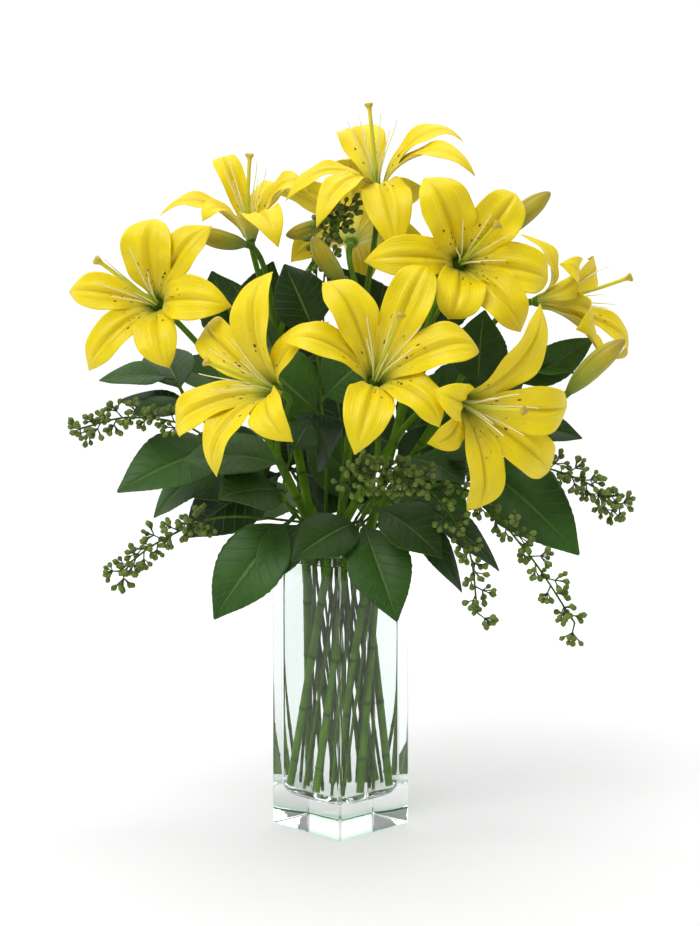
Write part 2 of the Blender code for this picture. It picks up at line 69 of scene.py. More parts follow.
# Vase and water, in millimetres
VASE_WALL = 5.0
CAVITY_FLOOR = 25.0
CAVITY_CORNER = 12.0
OUTER_CORNER = 2.6
EDGE_ROUND = 1.2
WATER_INTO_GLASS = 0.25
MENISCUS = 1.6
OUTER_CORNER_CAD = 3.0
CORNER_STEPS = 14
WALL_ROWS = 12
# Floor of the cavity, from its middle outwards: (inset, corner radius, rise)
FLOOR_PROFILE = ((-19.0, 9.0, 0.0), (-9.0, 14.0, 0.8), (-3.5, 14.0, 3.6),
                 (-0.8, 13.0, 8.0), (0.0, 12.0, 14.0))
COVE_HEIGHT = FLOOR_PROFILE[-1][2]
MENISCUS_ROWS = ((0.9, 0.6), (0.5, 1.3), (0.22, 2.3), (0.06, 4.0), (0.0, 7.0))

# In metres: how far a piece may pass its CAD node's box, the gap under the glass, the studio
PIECE_SLACK = 0.013
AIR_UNDER = 0.0005
FLOOR_HALF_WIDTH, FLOOR_FRONT, FLOOR_BACK = 8.0, -6.0, 3.4
BACKDROP_CURVE, BACKDROP_TOP = 1.6, 7.0
SKY_STRENGTH = 0.32
LAMP_AIM = (0.0, 0.0, 0.35)
# (name, place, aim, size, share of the lamp power)
LAMPS = (("key lamp", (-1.0, -1.7, 2.4), LAMP_AIM, (1.8, 1.8), 1.25),
         ("top lamp", (0.2, 0.2, 3.4), LAMP_AIM, (4.5, 4.5), 2.0),
         ("left strip", (-1.9, 0.5, 0.7), LAMP_AIM, (0.7, 1.6), 0.22),
         ("right strip", (1.9, 0.3, 0.7), LAMP_AIM, (0.7, 1.6), 0.16),
         ("backdrop lamp", (0.0, 1.6, 3.2), (0.0, 4.6, 1.2), (4.0, 1.5), 3.0))
CAMERA_PLACE = (0.008, -1.428, 0.399)
CAMERA_DROP = 3.75
CAMERA_LENS = 66.5
GLASS_IOR = 1.45
WATER_IOR = 1.333

# Stems: rings are (foot radius, extra foot radius in the corners, neck radius, twist)
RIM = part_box("vase")[1].z / MM
LILY_STEM_RADIUS = 3.9
THIN_STEM_RADIUS = 1.6
FOOT_HEIGHT = CAVITY_FLOOR + 8.0
NECK_HEIGHT = RIM + 18.0
OUTER_RING = (29.0, 9.0, 28.0, 95.0)
INNER_RING = (20.0, 0.0, 18.0, -110.0)
PEDICEL_RADIUS = 2.5

# Flower build
CLAW_RING = 5.0
CLAW_DEPTH = 8.0
RECEPTACLE_DEPTH = 14.0
RECEPTACLE_TOP = 4.0
PISTIL_GAP = 0.5
FILAMENT_RISE = 54.0
FILAMENT_REACH = 20.0

# Salal leaves are this much wider than in the CAD model
LEAF_FULLNESS = 1.12
INNER_LEAF_FACE = (0, -0.9, 0.2)
TEPAL_OUTLINE = ((0.0, 0.26), (0.15, 0.40), (0.35, 0.80), (0.55, 1.0),
                 (0.74, 0.85), (0.88, 0.47), (0.96, 0.17), (1.0, 0.03))
LEAF_OUTLINE = ((0.0, 0.07), (0.12, 0.08), (0.17, 0.3), (0.3, 0.82), (0.45, 1.0),
                (0.6, 0.95), (0.78, 0.62), (0.92, 0.24), (1.0, 0.03))
BLADE_OUTLINE = ((0.0, 0.35), (0.2, 0.8), (0.45, 1.0), (0.7, 0.8), (0.9, 0.35), (1.0, 0.05))

# Heights in these tables are measured from the rim of the vase.
# name: (throat, yaw, pitch, pistil tip, tepals). Yaw turns from -Y towards +X.
# A pistil tip is (clock, reach, rise); a tepal is (clock, reach, rise, width),
# with the clock angle seen from in front of the flower, 0 upwards.
FLOWERS = {
    "left": ((-150, -40, 206), -12, 12, (305, 40, 52), (
        (275, 72, 18, 30), (5, 70, 32, 42), (42, 80, 26, 32),
        (98, 78, 32, 36), (160, 66, 22, 36), (220, 80, 14, 30))),
    "back_left": ((-78, 45, 272), -10, 58, (20, 16, 62), (
        (325, 58, 46, 24), (268, 80, 18, 24), (225, 48, 28, 30),
        (150, 86, 26, 32), (78, 60, 36, 36), (28, 66, 12, 30))),
    "top": ((30, 20, 308), -5, 58, (345, 18, 64), (
        (335, 70, 22, 40), (248, 84, 4, 27), (210, 92, 4, 27),
        (76, 80, 34, 28), (108, 94, 26, 28), (165, 86, -18, 40))),
    "upper_right": ((97, -55, 238), 10, 8, (40, 24, 58), (
        (330, 76, 34, 42), (38, 70, 32, 38), (268, 88, 20, 34),
        (200, 62, 36, 40), (105, 78, 22, 40), (145, 78, 26, 36))),
    "front": ((28, -105, 146), 10, 32, (30, 22, 62), (
        (327, 80, 42, 36), (285, 82, 28, 30), (28, 98, 40, 36),
        (83, 86, 32, 38), (199, 80, 14, 38), (139, 72, 18, 34))),
    "front_left": ((-54, -95, 138), -38, 18, (280, 18, 60), (
        (306, 94, 14, 34), (2, 90, 34, 36), (42, 74, 6, 22),
        (236, 90, 26, 34), (193, 84, 26, 32), (134, 74, 26, 32))),
    "front_right": ((98, -95, 126), 32, -12, (60, 16, 58), (
        (28, 98, 24, 32), (86, 84, 32, 38), (126, 94, 28, 36),
        (179, 90, 28, 36), (289, 58, 32, 30), (235, 54, 18, 26))),
    "far_right": ((173, 0, 209), 70, 5, (20, 14, 70), (
        (345, 64, -8, 28), (298, 60, 30, 30), (52, 58, 30, 26),
        (240, 62, 40, 34), (136, 80, 50, 28), (195, 80, 36, 30))),
    "back": ((10, 105, 268), 170, 38, (10, 16, 62), (
        (0, 78, 24, 34), (58, 84, 20, 32), (120, 80, 24, 36),
        (180, 76, 26, 32), (238, 82, 20, 36), (300, 80, 24, 32))),
}

# name: (base, tip, radius)
BUDS = {
    "left": ((-80, 8, 256), (-118, -42, 264), 8.0),
    "right": ((134, 10, 262), (174, 0, 298), 9.0),
    "far_right": ((184, -52, 134), (226, -68, 176), 9.0),
    "centre": ((2, -28, 224), (-22, -52, 258), 8.0),
    "top_left": ((-14, 30, 276), (-46, 22, 264), 7.0),
}

# name: (slot angle, fork, flowers, buds, narrow leaves as (height share, tip, width))
LILY_STEMS = {
    "far_right": (30, (88, 25, 118), ("far_right",), ("far_right",), ()),
    "top": (90, (18, 45, 188), ("top", "back"), (), ((0.6, (70, 60, 198), 18),)),
    "back_left": (150, (-55, 38, 178), ("back_left",), ("left", "top_left"),
                  ((0.75, (-90, -5, 223), 18), (0.7, (-90, 80, 208), 18))),
    "left": (210, (-52, -22, 80), ("left", "front_left"), (), ()),
    "front": (270, (26, -42, 68), ("front", "front_right"), (), ()),
    "upper_right": (330, (62, -8, 158), ("upper_right",), ("right", "centre"),
                    ((0.7, (110, 90, 188), 20),)),
}

# name: (ring, slot angle, path above the neck, leaves)
# A leaf is (path share, tip, width, the way its upper face looks).
SALAL = {
    "left": (OUTER_RING, 180, ((-80, 5, 78), (-120, 10, 113), (-140, 15, 143)), (
        (0.40, (-180, -50, 53), 52, (-0.2, -0.8, 0.5)),
        (0.36, (-158, 15, 26), 44, (-0.4, -0.6, 0.6)),
        (0.72, (-172, -20, 113), 24, (-0.1, -0.7, 0.7)),
        (0.66, (-190, 30, 124), 26, (-0.2, -0.5, 0.8)),
        (1.0, (-203, 12, 142), 28, (-0.1, -0.6, 0.8)),
        (0.85, (-165, 70, 168), 40, (-0.4, 0.4, 0.8)))),
    "front_left": (OUTER_RING, 240, ((-38, -55, 36), (-45, -68, 58), (-38, -68, 88)), (
        (0.30, (-100, -78, -46), 50, (-0.3, -0.9, 0.2)),
        (0.22, (-66, -82, -20), 32, (0.0, -0.9, 0.3)),
        (0.62, (-94, -102, 52), 50, (-0.1, -0.7, 0.7)),
        (0.86, (-125, -66, 80), 46, (0.0, -0.6, 0.8)),
        (1.0, (-24, -78, 113), 26, (0.3, -0.9, 0.1)))),
    "front": (OUTER_RING, 300, ((18, -52, 34), (28, -62, 44), (45, -55, 53)), (
        (0.18, (-38, -88, 2), 40, (0.0, -0.8, 0.6)),
        (0.25, (45, -90, -46), 46, (0.1, -0.95, 0.2)),
        (0.62, (80, -88, 4), 46, (0.2, -0.7, 0.7)),
        (0.85, (98, -60, -27), 30, (0.4, -0.6, 0.6)),
        (1.0, (128, -58, -10), 30, (0.4, -0.6, 0.6)))),
    "right": (OUTER_RING, 0, ((80, 10, 58), (120, 12, 98), (150, 14, 148)), (
        (0.52, (196, -32, 0), 60, (0.3, -0.9, 0.3)),
        (0.72, (202, 0, 94), 34, (0.3, -0.7, 0.6)),
        (1.0, (196, 4, 148), 30, (0.1, -0.4, 0.9)),
        (0.92, (214, 20, 178), 28, (0.4, -0.8, 0.2)),
        (0.35, (150, 60, 58), 50, (0.5, 0.4, 0.8)))),
    "centre_left": (INNER_RING, 135, ((-12, -6, 78), (-16, -2, 128), (-20, -8, 178)), (
        (0.30, (-22, -60, 116), 40, (0.1, -0.8, 0.5)),
        (0.55, (-80, 0, 170), 50, (-0.2, -0.8, 0.5)),
        (0.65, (34, -28, 172), 46, (0.0, -0.9, 0.3)),
        (1.0, (-46, -14, 238), 42, (0.0, -0.9, 0.3)))),
    "centre_right": (INNER_RING, 35, ((48, 12, 68), (85, -10, 98), (112, -22, 133)), (
        (0.62, (140, -52, 90), 46, (0.1, -0.8, 0.5)),
        (0.85, (152, -30, 153), 40, (0.2, -0.8, 0.5)),
        (1.0, (118, -30, 200), 40, (0.0, -0.9, 0.3)),
        (0.4, (100, -50, 60), 46, (0.1, -0.7, 0.6)))),
    "back_right": (OUTER_RING, 60, ((52, 85, 68), (68, 112, 118), (72, 118, 178)), (
        (0.2, (20, 120, 18), 52, (0.1, 0.9, 0.4)),
        (0.4, (145, 115, 53), 54, (0.6, 0.7, 0.4)),
        (0.5, (70, 190, 68), 50, (0.0, 0.9, 0.5)),
        (0.68, (150, 95, 143), 50, (0.6, 0.3, 0.7)),
        (0.8, (28, 122, 208), 44, (-0.2, -0.9, 0.2)),
        (1.0, (110, 110, 248), 48, (0.2, -0.9, 0.2)),
        (0.14, (-30, 62, 96), 44, (0.0, -0.9, 0.2)),
        (0.3, (112, 62, 8), 50, (0.1, -0.9, 0.3)),
        (0.45, (90, 84, 150), 46, (0.1, -0.9, 0.2)),
        (0.9, (75, 190, 208), 46, (0.2, 0.7, 0.7)))),
    "back_left": (OUTER_RING, 120, ((-48, 85, 68), (-72, 112, 113), (-80, 118, 168)), (
        (0.2, (-90, 100, 13), 52, (-0.4, 0.8, 0.4)),
        (0.4, (-150, 90, 68), 54, (-0.6, 0.6, 0.5)),
        (0.5, (-60, 185, 78), 50, (0.0, 0.9, 0.5)),
        (0.68, (-160, 105, 153), 50, (-0.6, 0.3, 0.7)),
        (0.8, (-28, 112, 198), 46, (0.2, -0.9, 0.2)),
        (1.0, (-115, 105, 238), 48, (-0.2, -0.9, 0.2)),
        (0.3, (-138, 76, 2), 52, (-0.1, -0.9, 0.3)),
        (0.36, (-150, 62, 44), 50, (-0.1, -0.9, 0.3)),
        (0.28, (8, 98, 104), 46, (0.0, -0.9, 0.2)),
        (0.9, (-70, 190, 208), 46, (-0.2, 0.7, 0.7)))),
}

# Inner leaves of the two back sprigs, which close the middle of the bouquet. They are not in
# the CAD model, and some of them cross the leaves beside them.
# name: (share of the stem, tip, width)
INNER_LEAVES = {
    "back_left": ((0.5, (14, 50, 160), 56), (0.3, (24, 56, 36), 54), (0.3, (-48, 56, 104), 46),
                  (0.8, (0, 80, 176), 48), (1.0, (-60, 96, 246), 44)),
    "back_right": ((0.4, (-22, 60, 118), 50), (0.25, (112, 60, 98), 48),
                   (0.85, (-14, 80, 244), 52)),
}

# name: (ring, slot angle, path above the neck, seeds, stalk length, first share)
EUCALYPTUS = {
    "right": (INNER_RING, 345, ((95, -22, 64), (150, -28, 74), (200, -24, 60),
                                (230, -22, 38)), 18, 16, 0.6),
    "top": (INNER_RING, 75, ((0, 20, 108), (-12, 5, 168), (-14, -6, 218), (-8, -4, 263),
                             (-2, -4, 284)), 20, 18, 0.6),
    "left": (INNER_RING, 195, ((-72, -20, 60), (-120, -30, 103), (-170, -38, 113),
                               (-212, -38, 104)), 18, 14, 0.55),
    "lower_left": (INNER_RING, 225, ((-46, -46, 30), (-100, -50, 32), (-145, -55, 14),
                                     (-178, -60, -10)), 20, 15, 0.5),
    "centre": (INNER_RING, 255, ((4, -62, 56), (14, -88, 70), (34, -100, 74),
                                 (62, -106, 64)), 24, 18, 0.4),
    "low": (INNER_RING, 295, ((40, -47, 62), (72, -86, 56), (100, -98, 14), (108, -98, -38)),
            16, 13, 0.5),
    "lower_right": (INNER_RING, 315, ((60, -44, 54), (102, -74, 56), (148, -84, 8),
                                      (186, -84, -48)), 22, 15, 0.45),
}

# ---------------------------------------------------------------- shader maths


class Value:
    """A shader socket; arithmetic on it adds Math nodes."""

    def __init__(self, paint, socket):
        self.paint = paint
        self.socket = socket

    def __add__(self, other):
        return self.paint.math("ADD", self, other)

    def __sub__(self, other):
        return self.paint.math("SUBTRACT", self, other)

    def __rsub__(self, other):
        return self.paint.math("SUBTRACT", other, self)

    def __mul__(self, other):
        return self.paint.math("MULTIPLY", self, other)

    __radd__ = __add__
    __rmul__ = __mul__


class Paint:
    """One node material, built from expressions."""

    def __init__(self, name):
        self.material = bpy.data.materials.new(name)
        self.material.use_nodes = True
        self.tree = self.material.node_tree
        self.tree.nodes.clear()

    def node(self, kind, settings=None, values=None, out=0):
        """Adds a node: its settings first, then the values or links of its sockets."""
        made = self.tree.nodes.new(kind)
        for name, value in (settings or {}).items():
            if name == "stops":
                self.set_stops(made.color_ramp, value)
            else:
                setattr(made, name, value)
        for name, value in (values or {}).items():
            if isinstance(value, Value):
                self.tree.links.new(value.socket, made.inputs[name])
            else:
                made.inputs[name].default_value = value
        return Value(self, made.outputs[out]) if made.outputs else None

    @staticmethod
    def set_stops(ramp, stops):
        while len(ramp.elements) < len(stops):
            ramp.elements.new(1.0)
        for element, (place, colour) in zip(ramp.elements, stops):
            element.position = place
            element.color = (*colour, 1.0)

    def math(self, operation, *operands):
        return self.node("ShaderNodeMath", {"operation": operation}, dict(enumerate(operands)))

    def mark(self, name):
        """A number stored at the vertices of the mesh."""
        return self.node("ShaderNodeAttribute", {"attribute_name": name}, out=2)

    def place(self):
        return self.node("ShaderNodeTexCoord", out=3)

    def smooth(self, value, low, high):
        """0 below low and 1 above high, with a smooth step between."""
        return self.node("ShaderNodeMapRange", {"interpolation_type": "SMOOTHSTEP"},
                         {"Value": value, "From Min": low, "From Max": high})

    def mix(self, share, first, second):
        def wrap(colour):
            return colour if isinstance(colour, Value) else (*colour, 1.0)
        return self.node("ShaderNodeMix", {"data_type": "RGBA"},
                         {0: share, 6: wrap(first), 7: wrap(second)}, out=2)

    def ramp(self, value, stops):
        return self.node("ShaderNodeValToRGB", {"stops": stops}, {"Fac": value})

    def noise(self, scale, detail=3.0, vector=None):
        return self.node("ShaderNodeTexNoise", None,
                         {"Scale": scale, "Detail": detail, "Vector": vector or self.place()})

    def split(self, vector):
        made = self.node("ShaderNodeSeparateXYZ", None, {"Vector": vector})
        return [Value(self, socket) for socket in made.socket.node.outputs]

    def combine(self, x, y, z):
        return self.node("ShaderNodeCombineXYZ", None, {"X": x, "Y": y, "Z": z})

    def bump(self, height, distance, strength=1.0):
        return self.node("ShaderNodeBump", None,
                         {"Height": height, "Distance": distance, "Strength": strength})

    def shade(self, **sockets):
        """A Principled shader; names are its sockets with _ for a space."""
        values = {name.replace("_", " "): value for name, value in sockets.items()}
        return self.node("ShaderNodeBsdfPrincipled", None, values)

    def finish(self, shader):
        self.node("ShaderNodeOutputMaterial", None, {"Surface": shader})
        return self.material


def tint(colour, factor):
    return tuple(min(1.0, part * factor) for part in colour)


def petal_paint(settings):
    paint = Paint("lily petal")
    along, across, side = paint.mark("along"), paint.mark("across"), paint.mark("side")
    yellow = tuple(settings.petal_colour)
    throat = tuple(settings.throat_colour)
    cloud = paint.noise(38.0, 3.0)
    fibres = paint.noise(1.0, 4.0, paint.combine(across * 26.0, along * 2.2, side * 9.0))
    spread = paint.math("ABSOLUTE", across)
    base = paint.mix(paint.smooth(cloud, 0.3, 0.75), tint(yellow, 0.88), yellow)
    base = paint.mix(paint.smooth(fibres, 0.40, 0.72) * 0.30, base, tint(yellow, 0.78))
    pale = (1.0 - paint.smooth(along, 0.18, 0.42)) * (1.0 - paint.smooth(spread, 0.30, 1.0) * 0.6)
    base = paint.mix(pale * 0.60, base, throat)
    # Partly real colour and partly painted shade: a darker ochre stripe runs down the midrib and
    # also stands for the shade in its groove.
    rib = (1.0 - paint.smooth(spread, 0.02, 0.13)) * (1.0 - paint.smooth(along, 0.70, 0.97))
    base = paint.mix(rib * 0.50, base, (0.50, 0.40, 0.008))
    # Painted shade: the hollow middle of each tepal's lower half, where it cups, is darkened to a
    # deeper yellow.
    fold = (1.0 - paint.smooth(spread, 0.0, 0.55)) * (1.0 - paint.smooth(along, 0.45, 0.95))
    base = paint.mix(fold * 0.35, base, tint(yellow, 0.70))
    green = 1.0 - paint.smooth(along, 0.03, 0.20)
    base = paint.mix(green * 0.85, base, (0.30, 0.42, 0.07))
    outside = (1.0 - paint.smooth(side, 0.4, 0.6)) * 0.25
    base = paint.mix(outside, base, (0.58, 0.52, 0.06))
    dots = paint.node("ShaderNodeTexVoronoi", None,
                      {"Scale": 1.0, "Vector": paint.combine(across * 5.0, along * 17.0, side)})
    zone = (paint.smooth(along, 0.20, 0.24) * (1.0 - paint.smooth(along, 0.42, 0.50))
            * (1.0 - paint.smooth(spread, 0.50, 0.72)) * paint.smooth(side, 0.4, 0.6))
    few = paint.smooth(paint.noise(75.0, 1.0), 0.42, 0.48)
    spot = (1.0 - paint.smooth(dots, 0.20, 0.28)) * zone * few
    base = paint.mix(spot * 0.92, base, (0.075, 0.022, 0.008))
    lines = paint.math("SINE", across * 46.0 + fibres * 3.0)
    height = lines * 0.10 + fibres * 0.50 + cloud * 0.2 + spot * 0.8 - rib * 0.5
    rough = 0.36 + cloud * 0.12 - spot * 0.1
    return paint.finish(paint.shade(
        Base_Color=base, Roughness=rough, Normal=paint.bump(height, 0.0007, 0.65),
        Subsurface_Weight=0.12, Subsurface_Radius=(0.9, 0.60, 0.03), Subsurface_Scale=0.004,
        IOR=1.42, Specular_IOR_Level=0.44))


def leaf_paint(name, settings, factor, gloss):
    """A leathery leaf: pale midrib, side veins that arch forwards, fine cells, paler back."""
    paint = Paint(name)
    along, across, side = paint.mark("along"), paint.mark("across"), paint.mark("side")
    green = tint(tuple(settings.leaf_colour), factor)
    spread = paint.math("ABSOLUTE", across)
    wander = paint.noise(24.0, 3.0)
    cells = paint.noise(420.0, 2.0)
    arch = along * 11.0 - spread * 2.3 + spread * spread * 0.5 + wander * 0.7
    wave = paint.math("ABSOLUTE", paint.math("FRACT", arch) - 0.5)
    vein = 1.0 - paint.smooth(wave, 0.015, 0.085)
    vein = vein * (1.0 - paint.smooth(spread, 0.72, 0.98) * 0.8)
    rib = 1.0 - paint.smooth(spread, 0.015, 0.06)
    base = paint.mix(paint.smooth(wander, 0.32, 0.72), tint(green, 0.72), tint(green, 1.30))
    base = paint.mix(paint.smooth(cells, 0.4, 0.65) * 0.25, base, tint(green, 1.7))
    base = paint.mix(vein * 0.34, base, (0.055, 0.13, 0.025))
    base = paint.mix(rib * 0.70, base, (0.11, 0.20, 0.04))
    rim = paint.smooth(spread, 0.94, 1.0)
    base = paint.mix(rim * 0.35, base, (0.07, 0.12, 0.03))
    under = 1.0 - paint.smooth(side, 0.4, 0.6)
    base = paint.mix(under * 0.6, base, (0.050, 0.115, 0.018))
    height = cells * 0.10 - vein * 0.7 - rib * 0.7 + wander * 0.8
    rough = gloss + cells * 0.12 + under * 0.2
    return paint.finish(paint.shade(
        Base_Color=base, Roughness=rough, Normal=paint.bump(height, 0.0007, 0.7),
        Subsurface_Weight=0.05, Subsurface_Radius=(0.3, 0.8, 0.1), Subsurface_Scale=0.002,
        Specular_IOR_Level=0.28))


def stem_paint(name, colour, dark):
    """A cut stem: fine streaks along it, darker leaf scars, and a pale cut foot."""
    paint = Paint(name)
    along, across, side = paint.mark("along"), paint.mark("across"), paint.mark("side")
    streak = paint.noise(1.0, 4.0, paint.combine(across * 30.0, along * 45.0, 0.0))
    cloud = paint.noise(70.0, 3.0)
    base = paint.mix(paint.smooth(cloud, 0.3, 0.7), tint(colour, 0.8), tint(colour, 1.2))
    base = paint.mix(paint.smooth(streak, 0.45, 0.7) * 0.45, base, tint(colour, 1.55))
    base = paint.mix(side * 0.75, base, dark)
    cut = 1.0 - paint.smooth(along, 0.0006, 0.0016)
    base = paint.mix(cut * 0.8, base, (0.30, 0.36, 0.15))
    height = streak * 0.6 + cloud * 0.3 + side
    return paint.finish(paint.shade(
        Base_Color=base, Roughness=0.40 + streak * 0.15,
        Normal=paint.bump(height, 0.0004, 0.6), Specular_IOR_Level=0.06))


def bud_paint(settings):
    paint = Paint("lily bud")
    along, across, side = paint.mark("along"), paint.mark("across"), paint.mark("side")
    fibres = paint.noise(1.0, 4.0, paint.combine(across * 22.0, along * 3.0, 0.0))
    cloud = paint.noise(60.0, 3.0)
    ripe = tint(tuple(settings.petal_colour), 0.55)
    base = paint.ramp(along, ((0.0, (0.10, 0.18, 0.015)), (0.35, (0.30, 0.34, 0.015)),
                              (0.75, ripe), (1.0, (0.30, 0.24, 0.02))))
    base = paint.mix(paint.smooth(fibres, 0.42, 0.7) * 0.45, base, (0.17, 0.22, 0.015))
    base = paint.mix(side * 0.65, base, (0.14, 0.14, 0.015))
    base = paint.mix(paint.smooth(cloud, 0.45, 0.8) * 0.3, base, (0.42, 0.32, 0.02))
    return paint.finish(paint.shade(
        Base_Color=base, Roughness=0.45 + cloud * 0.15,
        Normal=paint.bump(fibres * 0.7 + side * 0.5, 0.0005, 0.6), Subsurface_Weight=0.12,
        Subsurface_Radius=(0.8, 0.8, 0.1), Subsurface_Scale=0.003))


def pistil_paint():
    paint = Paint("lily pistil")
    along = paint.mark("along")
    cloud = paint.noise(160.0, 3.0)
    base = paint.ramp(along, ((0.0, (0.24, 0.40, 0.03)), (0.25, (0.42, 0.52, 0.03)),
                              (0.90, (0.66, 0.58, 0.02)), (1.0, (0.44, 0.32, 0.02))))
    base = paint.mix(paint.smooth(cloud, 0.4, 0.7) * 0.3, base, (0.72, 0.68, 0.08))
    return paint.finish(paint.shade(
        Base_Color=base, Roughness=0.38 + cloud * 0.2, Normal=paint.bump(cloud, 0.0003, 0.5),
        Subsurface_Weight=0.15, Subsurface_Radius=(0.8, 0.8, 0.2), Subsurface_Scale=0.002))


def filament_paint():
    paint = Paint("lily filament")
    along = paint.mark("along")
    cloud = paint.noise(240.0, 2.0)
    base = paint.ramp(along, ((0.0, (0.50, 0.60, 0.22)), (0.4, (0.80, 0.80, 0.42)),
                              (1.0, (0.88, 0.84, 0.60))))
    base = paint.mix(paint.smooth(cloud, 0.45, 0.7) * 0.3, base, (0.62, 0.66, 0.30))
    return paint.finish(paint.shade(
        Base_Color=base, Roughness=0.40 + cloud * 0.2, Normal=paint.bump(cloud, 0.0002, 0.4)))


def seed_paint(settings):
    """Eucalyptus capsules: olive with a waxy bloom, a brown cap and speckles."""
    paint = Paint("eucalyptus seed")
    along, side = paint.mark("along"), paint.mark("side")
    olive = tuple(settings.seed_colour)
    cloud = paint.noise(110.0, 3.0)
    speck = paint.noise(900.0, 2.0)
    base = paint.mix(paint.smooth(cloud, 0.3, 0.7), tint(olive, 0.70), tint(olive, 1.35))
    base = paint.mix(side * 0.85, (0.055, 0.070, 0.016), base)
    base = paint.mix(paint.smooth(speck, 0.55, 0.7) * 0.3, base, (0.22, 0.27, 0.12))
    cap = paint.smooth(along, 0.82, 0.97) * side
    base = paint.mix(cap * 0.55, base, (0.09, 0.065, 0.02))
    return paint.finish(paint.shade(
        Base_Color=base, Roughness=0.50 + cloud * 0.15,
        Normal=paint.bump(speck * 0.5 + cloud * 0.5, 0.0003, 0.5), Specular_IOR_Level=0.2))


def clear_paint(name, colour, ior, ripple):
    """Glass or water; lamps shine through it as through a thin clear sheet."""
    paint = Paint(name)
    x, y, height = paint.split(paint.place())
    across = paint.math("ABSOLUTE", x) + paint.math("ABSOLUTE", y)
    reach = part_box("vase")[1].x
    low = 1.0 - paint.smooth(height, 0.010, 0.032)
    corner = paint.smooth(across, reach * 0.93, reach * 0.985)
    edge = (1.0 - paint.smooth(height, 0.001, 0.005)) * corner
    waver = paint.noise(9.0, 1.0) + low * paint.noise(85.0, 2.0) * 0.7
    body = paint.shade(Base_Color=paint.mix(edge, colour, (0.45, 0.80, 0.56)), Roughness=0.0,
                       IOR=ior, Transmission_Weight=1.0, Specular_IOR_Level=0.28,
                       Normal=paint.bump(waver, 0.001, ripple))
    open_way = paint.node("ShaderNodeBsdfTransparent", None, {"Color": (*colour, 1.0)})
    shadow = paint.node("ShaderNodeLightPath", out=1)
    return paint.finish(paint.node("ShaderNodeMixShader", None,
                                   {0: shadow, 1: body, 2: open_way}))


def sheer_paint(name, colour):
    """The side of the water, which the glass wall already bends light for."""
    paint = Paint(name)
    cloud = paint.noise(5.0, 1.0)
    clear = paint.node("ShaderNodeBsdfTransparent", None, {"Color": (*colour, 1.0)})
    body = paint.shade(Base_Color=paint.mix(cloud, colour, tint(colour, 0.97)), Roughness=0.0,
                       Alpha=0.0)
    return paint.finish(paint.node("ShaderNodeMixShader", None, {0: 1.0, 1: body, 2: clear}))


def floor_paint(settings):
    paint = Paint("studio floor")
    cloud = paint.noise(3.0, 2.0)
    pale = tuple(settings.floor_colour)
    base = paint.mix(cloud * 0.5, tint(pale, 0.99), pale)
    return paint.finish(paint.shade(Base_Color=base, Roughness=0.72, Specular_IOR_Level=0.12))


# ---------------------------------------------------------------- mesh helpers


class Shape:
    """Gathers the closed surfaces of one piece, with three numbers at each vertex."""

    def __init__(self):
        self.points, self.faces, self.marks = [], [], []

    def add(self, points, faces, marks):
        start = len(self.points)
        self.points.extend(points)
        self.faces.extend(tuple(start + i for i in face) for face in faces)
        self.marks.extend(marks)

    def piece(self, name, material, node, second=None):
        """Makes the object, puts it on the frame and hides the CAD node that it stands for.

        second is another material and a test of the face centres that it covers.
        """
        mesh = bpy.data.meshes.new(name)
        mesh.from_pydata([tuple(c * MM for c in p) for p in self.points], [], self.faces)
        mesh.shade_smooth()
        marks = np.array(self.marks, np.float32)
        for column, label in enumerate(("along", "across", "side")):
            layer = mesh.attributes.new(label, "FLOAT", "POINT")
            layer.data.foreach_set("value", np.ascontiguousarray(marks[:, column]))
        mesh.materials.append(material)
        if second:
            other, belongs = second
            mesh.materials.append(other)
            for face in mesh.polygons:
                face.material_index = int(belongs(face.center / MM))
        obj = bpy.data.objects.new(name, mesh)
        bpy.context.scene.collection.objects.link(obj)
        keep_inside(obj, node)
        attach(obj, "root")
        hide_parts(node)
        return obj


def keep_inside(obj, node):
    """Raises an error if a piece passes its CAD node's box by more than PIECE_SLACK."""
    low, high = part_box(node)
    for corner in obj.bound_box:
        for k in range(3):
            if not low[k] - PIECE_SLACK <= corner[k] <= high[k] + PIECE_SLACK:
                raise RuntimeError(f"{obj.name} leaves the box of {node} on axis {k}: "
                                   f"{corner[k]:.3f} against {low[k]:.3f} to {high[k]:.3f}")


def bezier(a, b, c, d, t):
    s = 1.0 - t
    return a * s ** 3 + b * 3 * s * s * t + c * 3 * s * t * t + d * t ** 3


def spline(points, steps, first):
    """A smooth curve through points, starting along first."""
    pts = [points[0] - first] + points + [points[-1] * 2 - points[-2]]
    curve = []
    for i in range(1, len(pts) - 2):
        a, b, c, d = pts[i - 1:i + 3]
        for k in range(steps):
            t = k / steps
            curve.append(0.5 * (2 * b + (c - a) * t + (2 * a - 5 * b + 4 * c - d) * t ** 2
                                + (3 * b - a - 3 * c + d) * t ** 3))
    return curve + [points[-1]]


def outline(table, share):
    """A smooth width share of a blade at this share of its length."""
    places = [row[0] for row in table]
    widths = [row[1] for row in table]
    for i in range(len(table) - 1):
        if share <= places[i + 1]:
            break
    span = places[i + 1] - places[i]
    t = (share - places[i]) / span

    def slope(k):
        low, high = max(k - 1, 0), min(k + 1, len(table) - 1)
        return (widths[high] - widths[low]) / (places[high] - places[low]) * span
    t2, t3 = t * t, t * t * t
    return ((2 * t3 - 3 * t2 + 1) * widths[i] + (t3 - 2 * t2 + t) * slope(i)
            + (3 * t2 - 2 * t3) * widths[i + 1] + (t3 - t2) * slope(i + 1))


def ring_faces(rows, count):
    """Faces of a closed tube of rings, whose two middle points follow the last ring."""
    faces = []
    for row in range(rows - 1):
        for k in range(count):
            n = (k + 1) % count
            a, b = row * count, (row + 1) * count
            faces.append((a + k, a + n, b + n, b + k))
    last, top = rows * count, (rows - 1) * count
    for k in range(count):
        n = (k + 1) % count
        faces.append((last, n, k))
        faces.append((last + 1, top + k, top + n))
    return faces


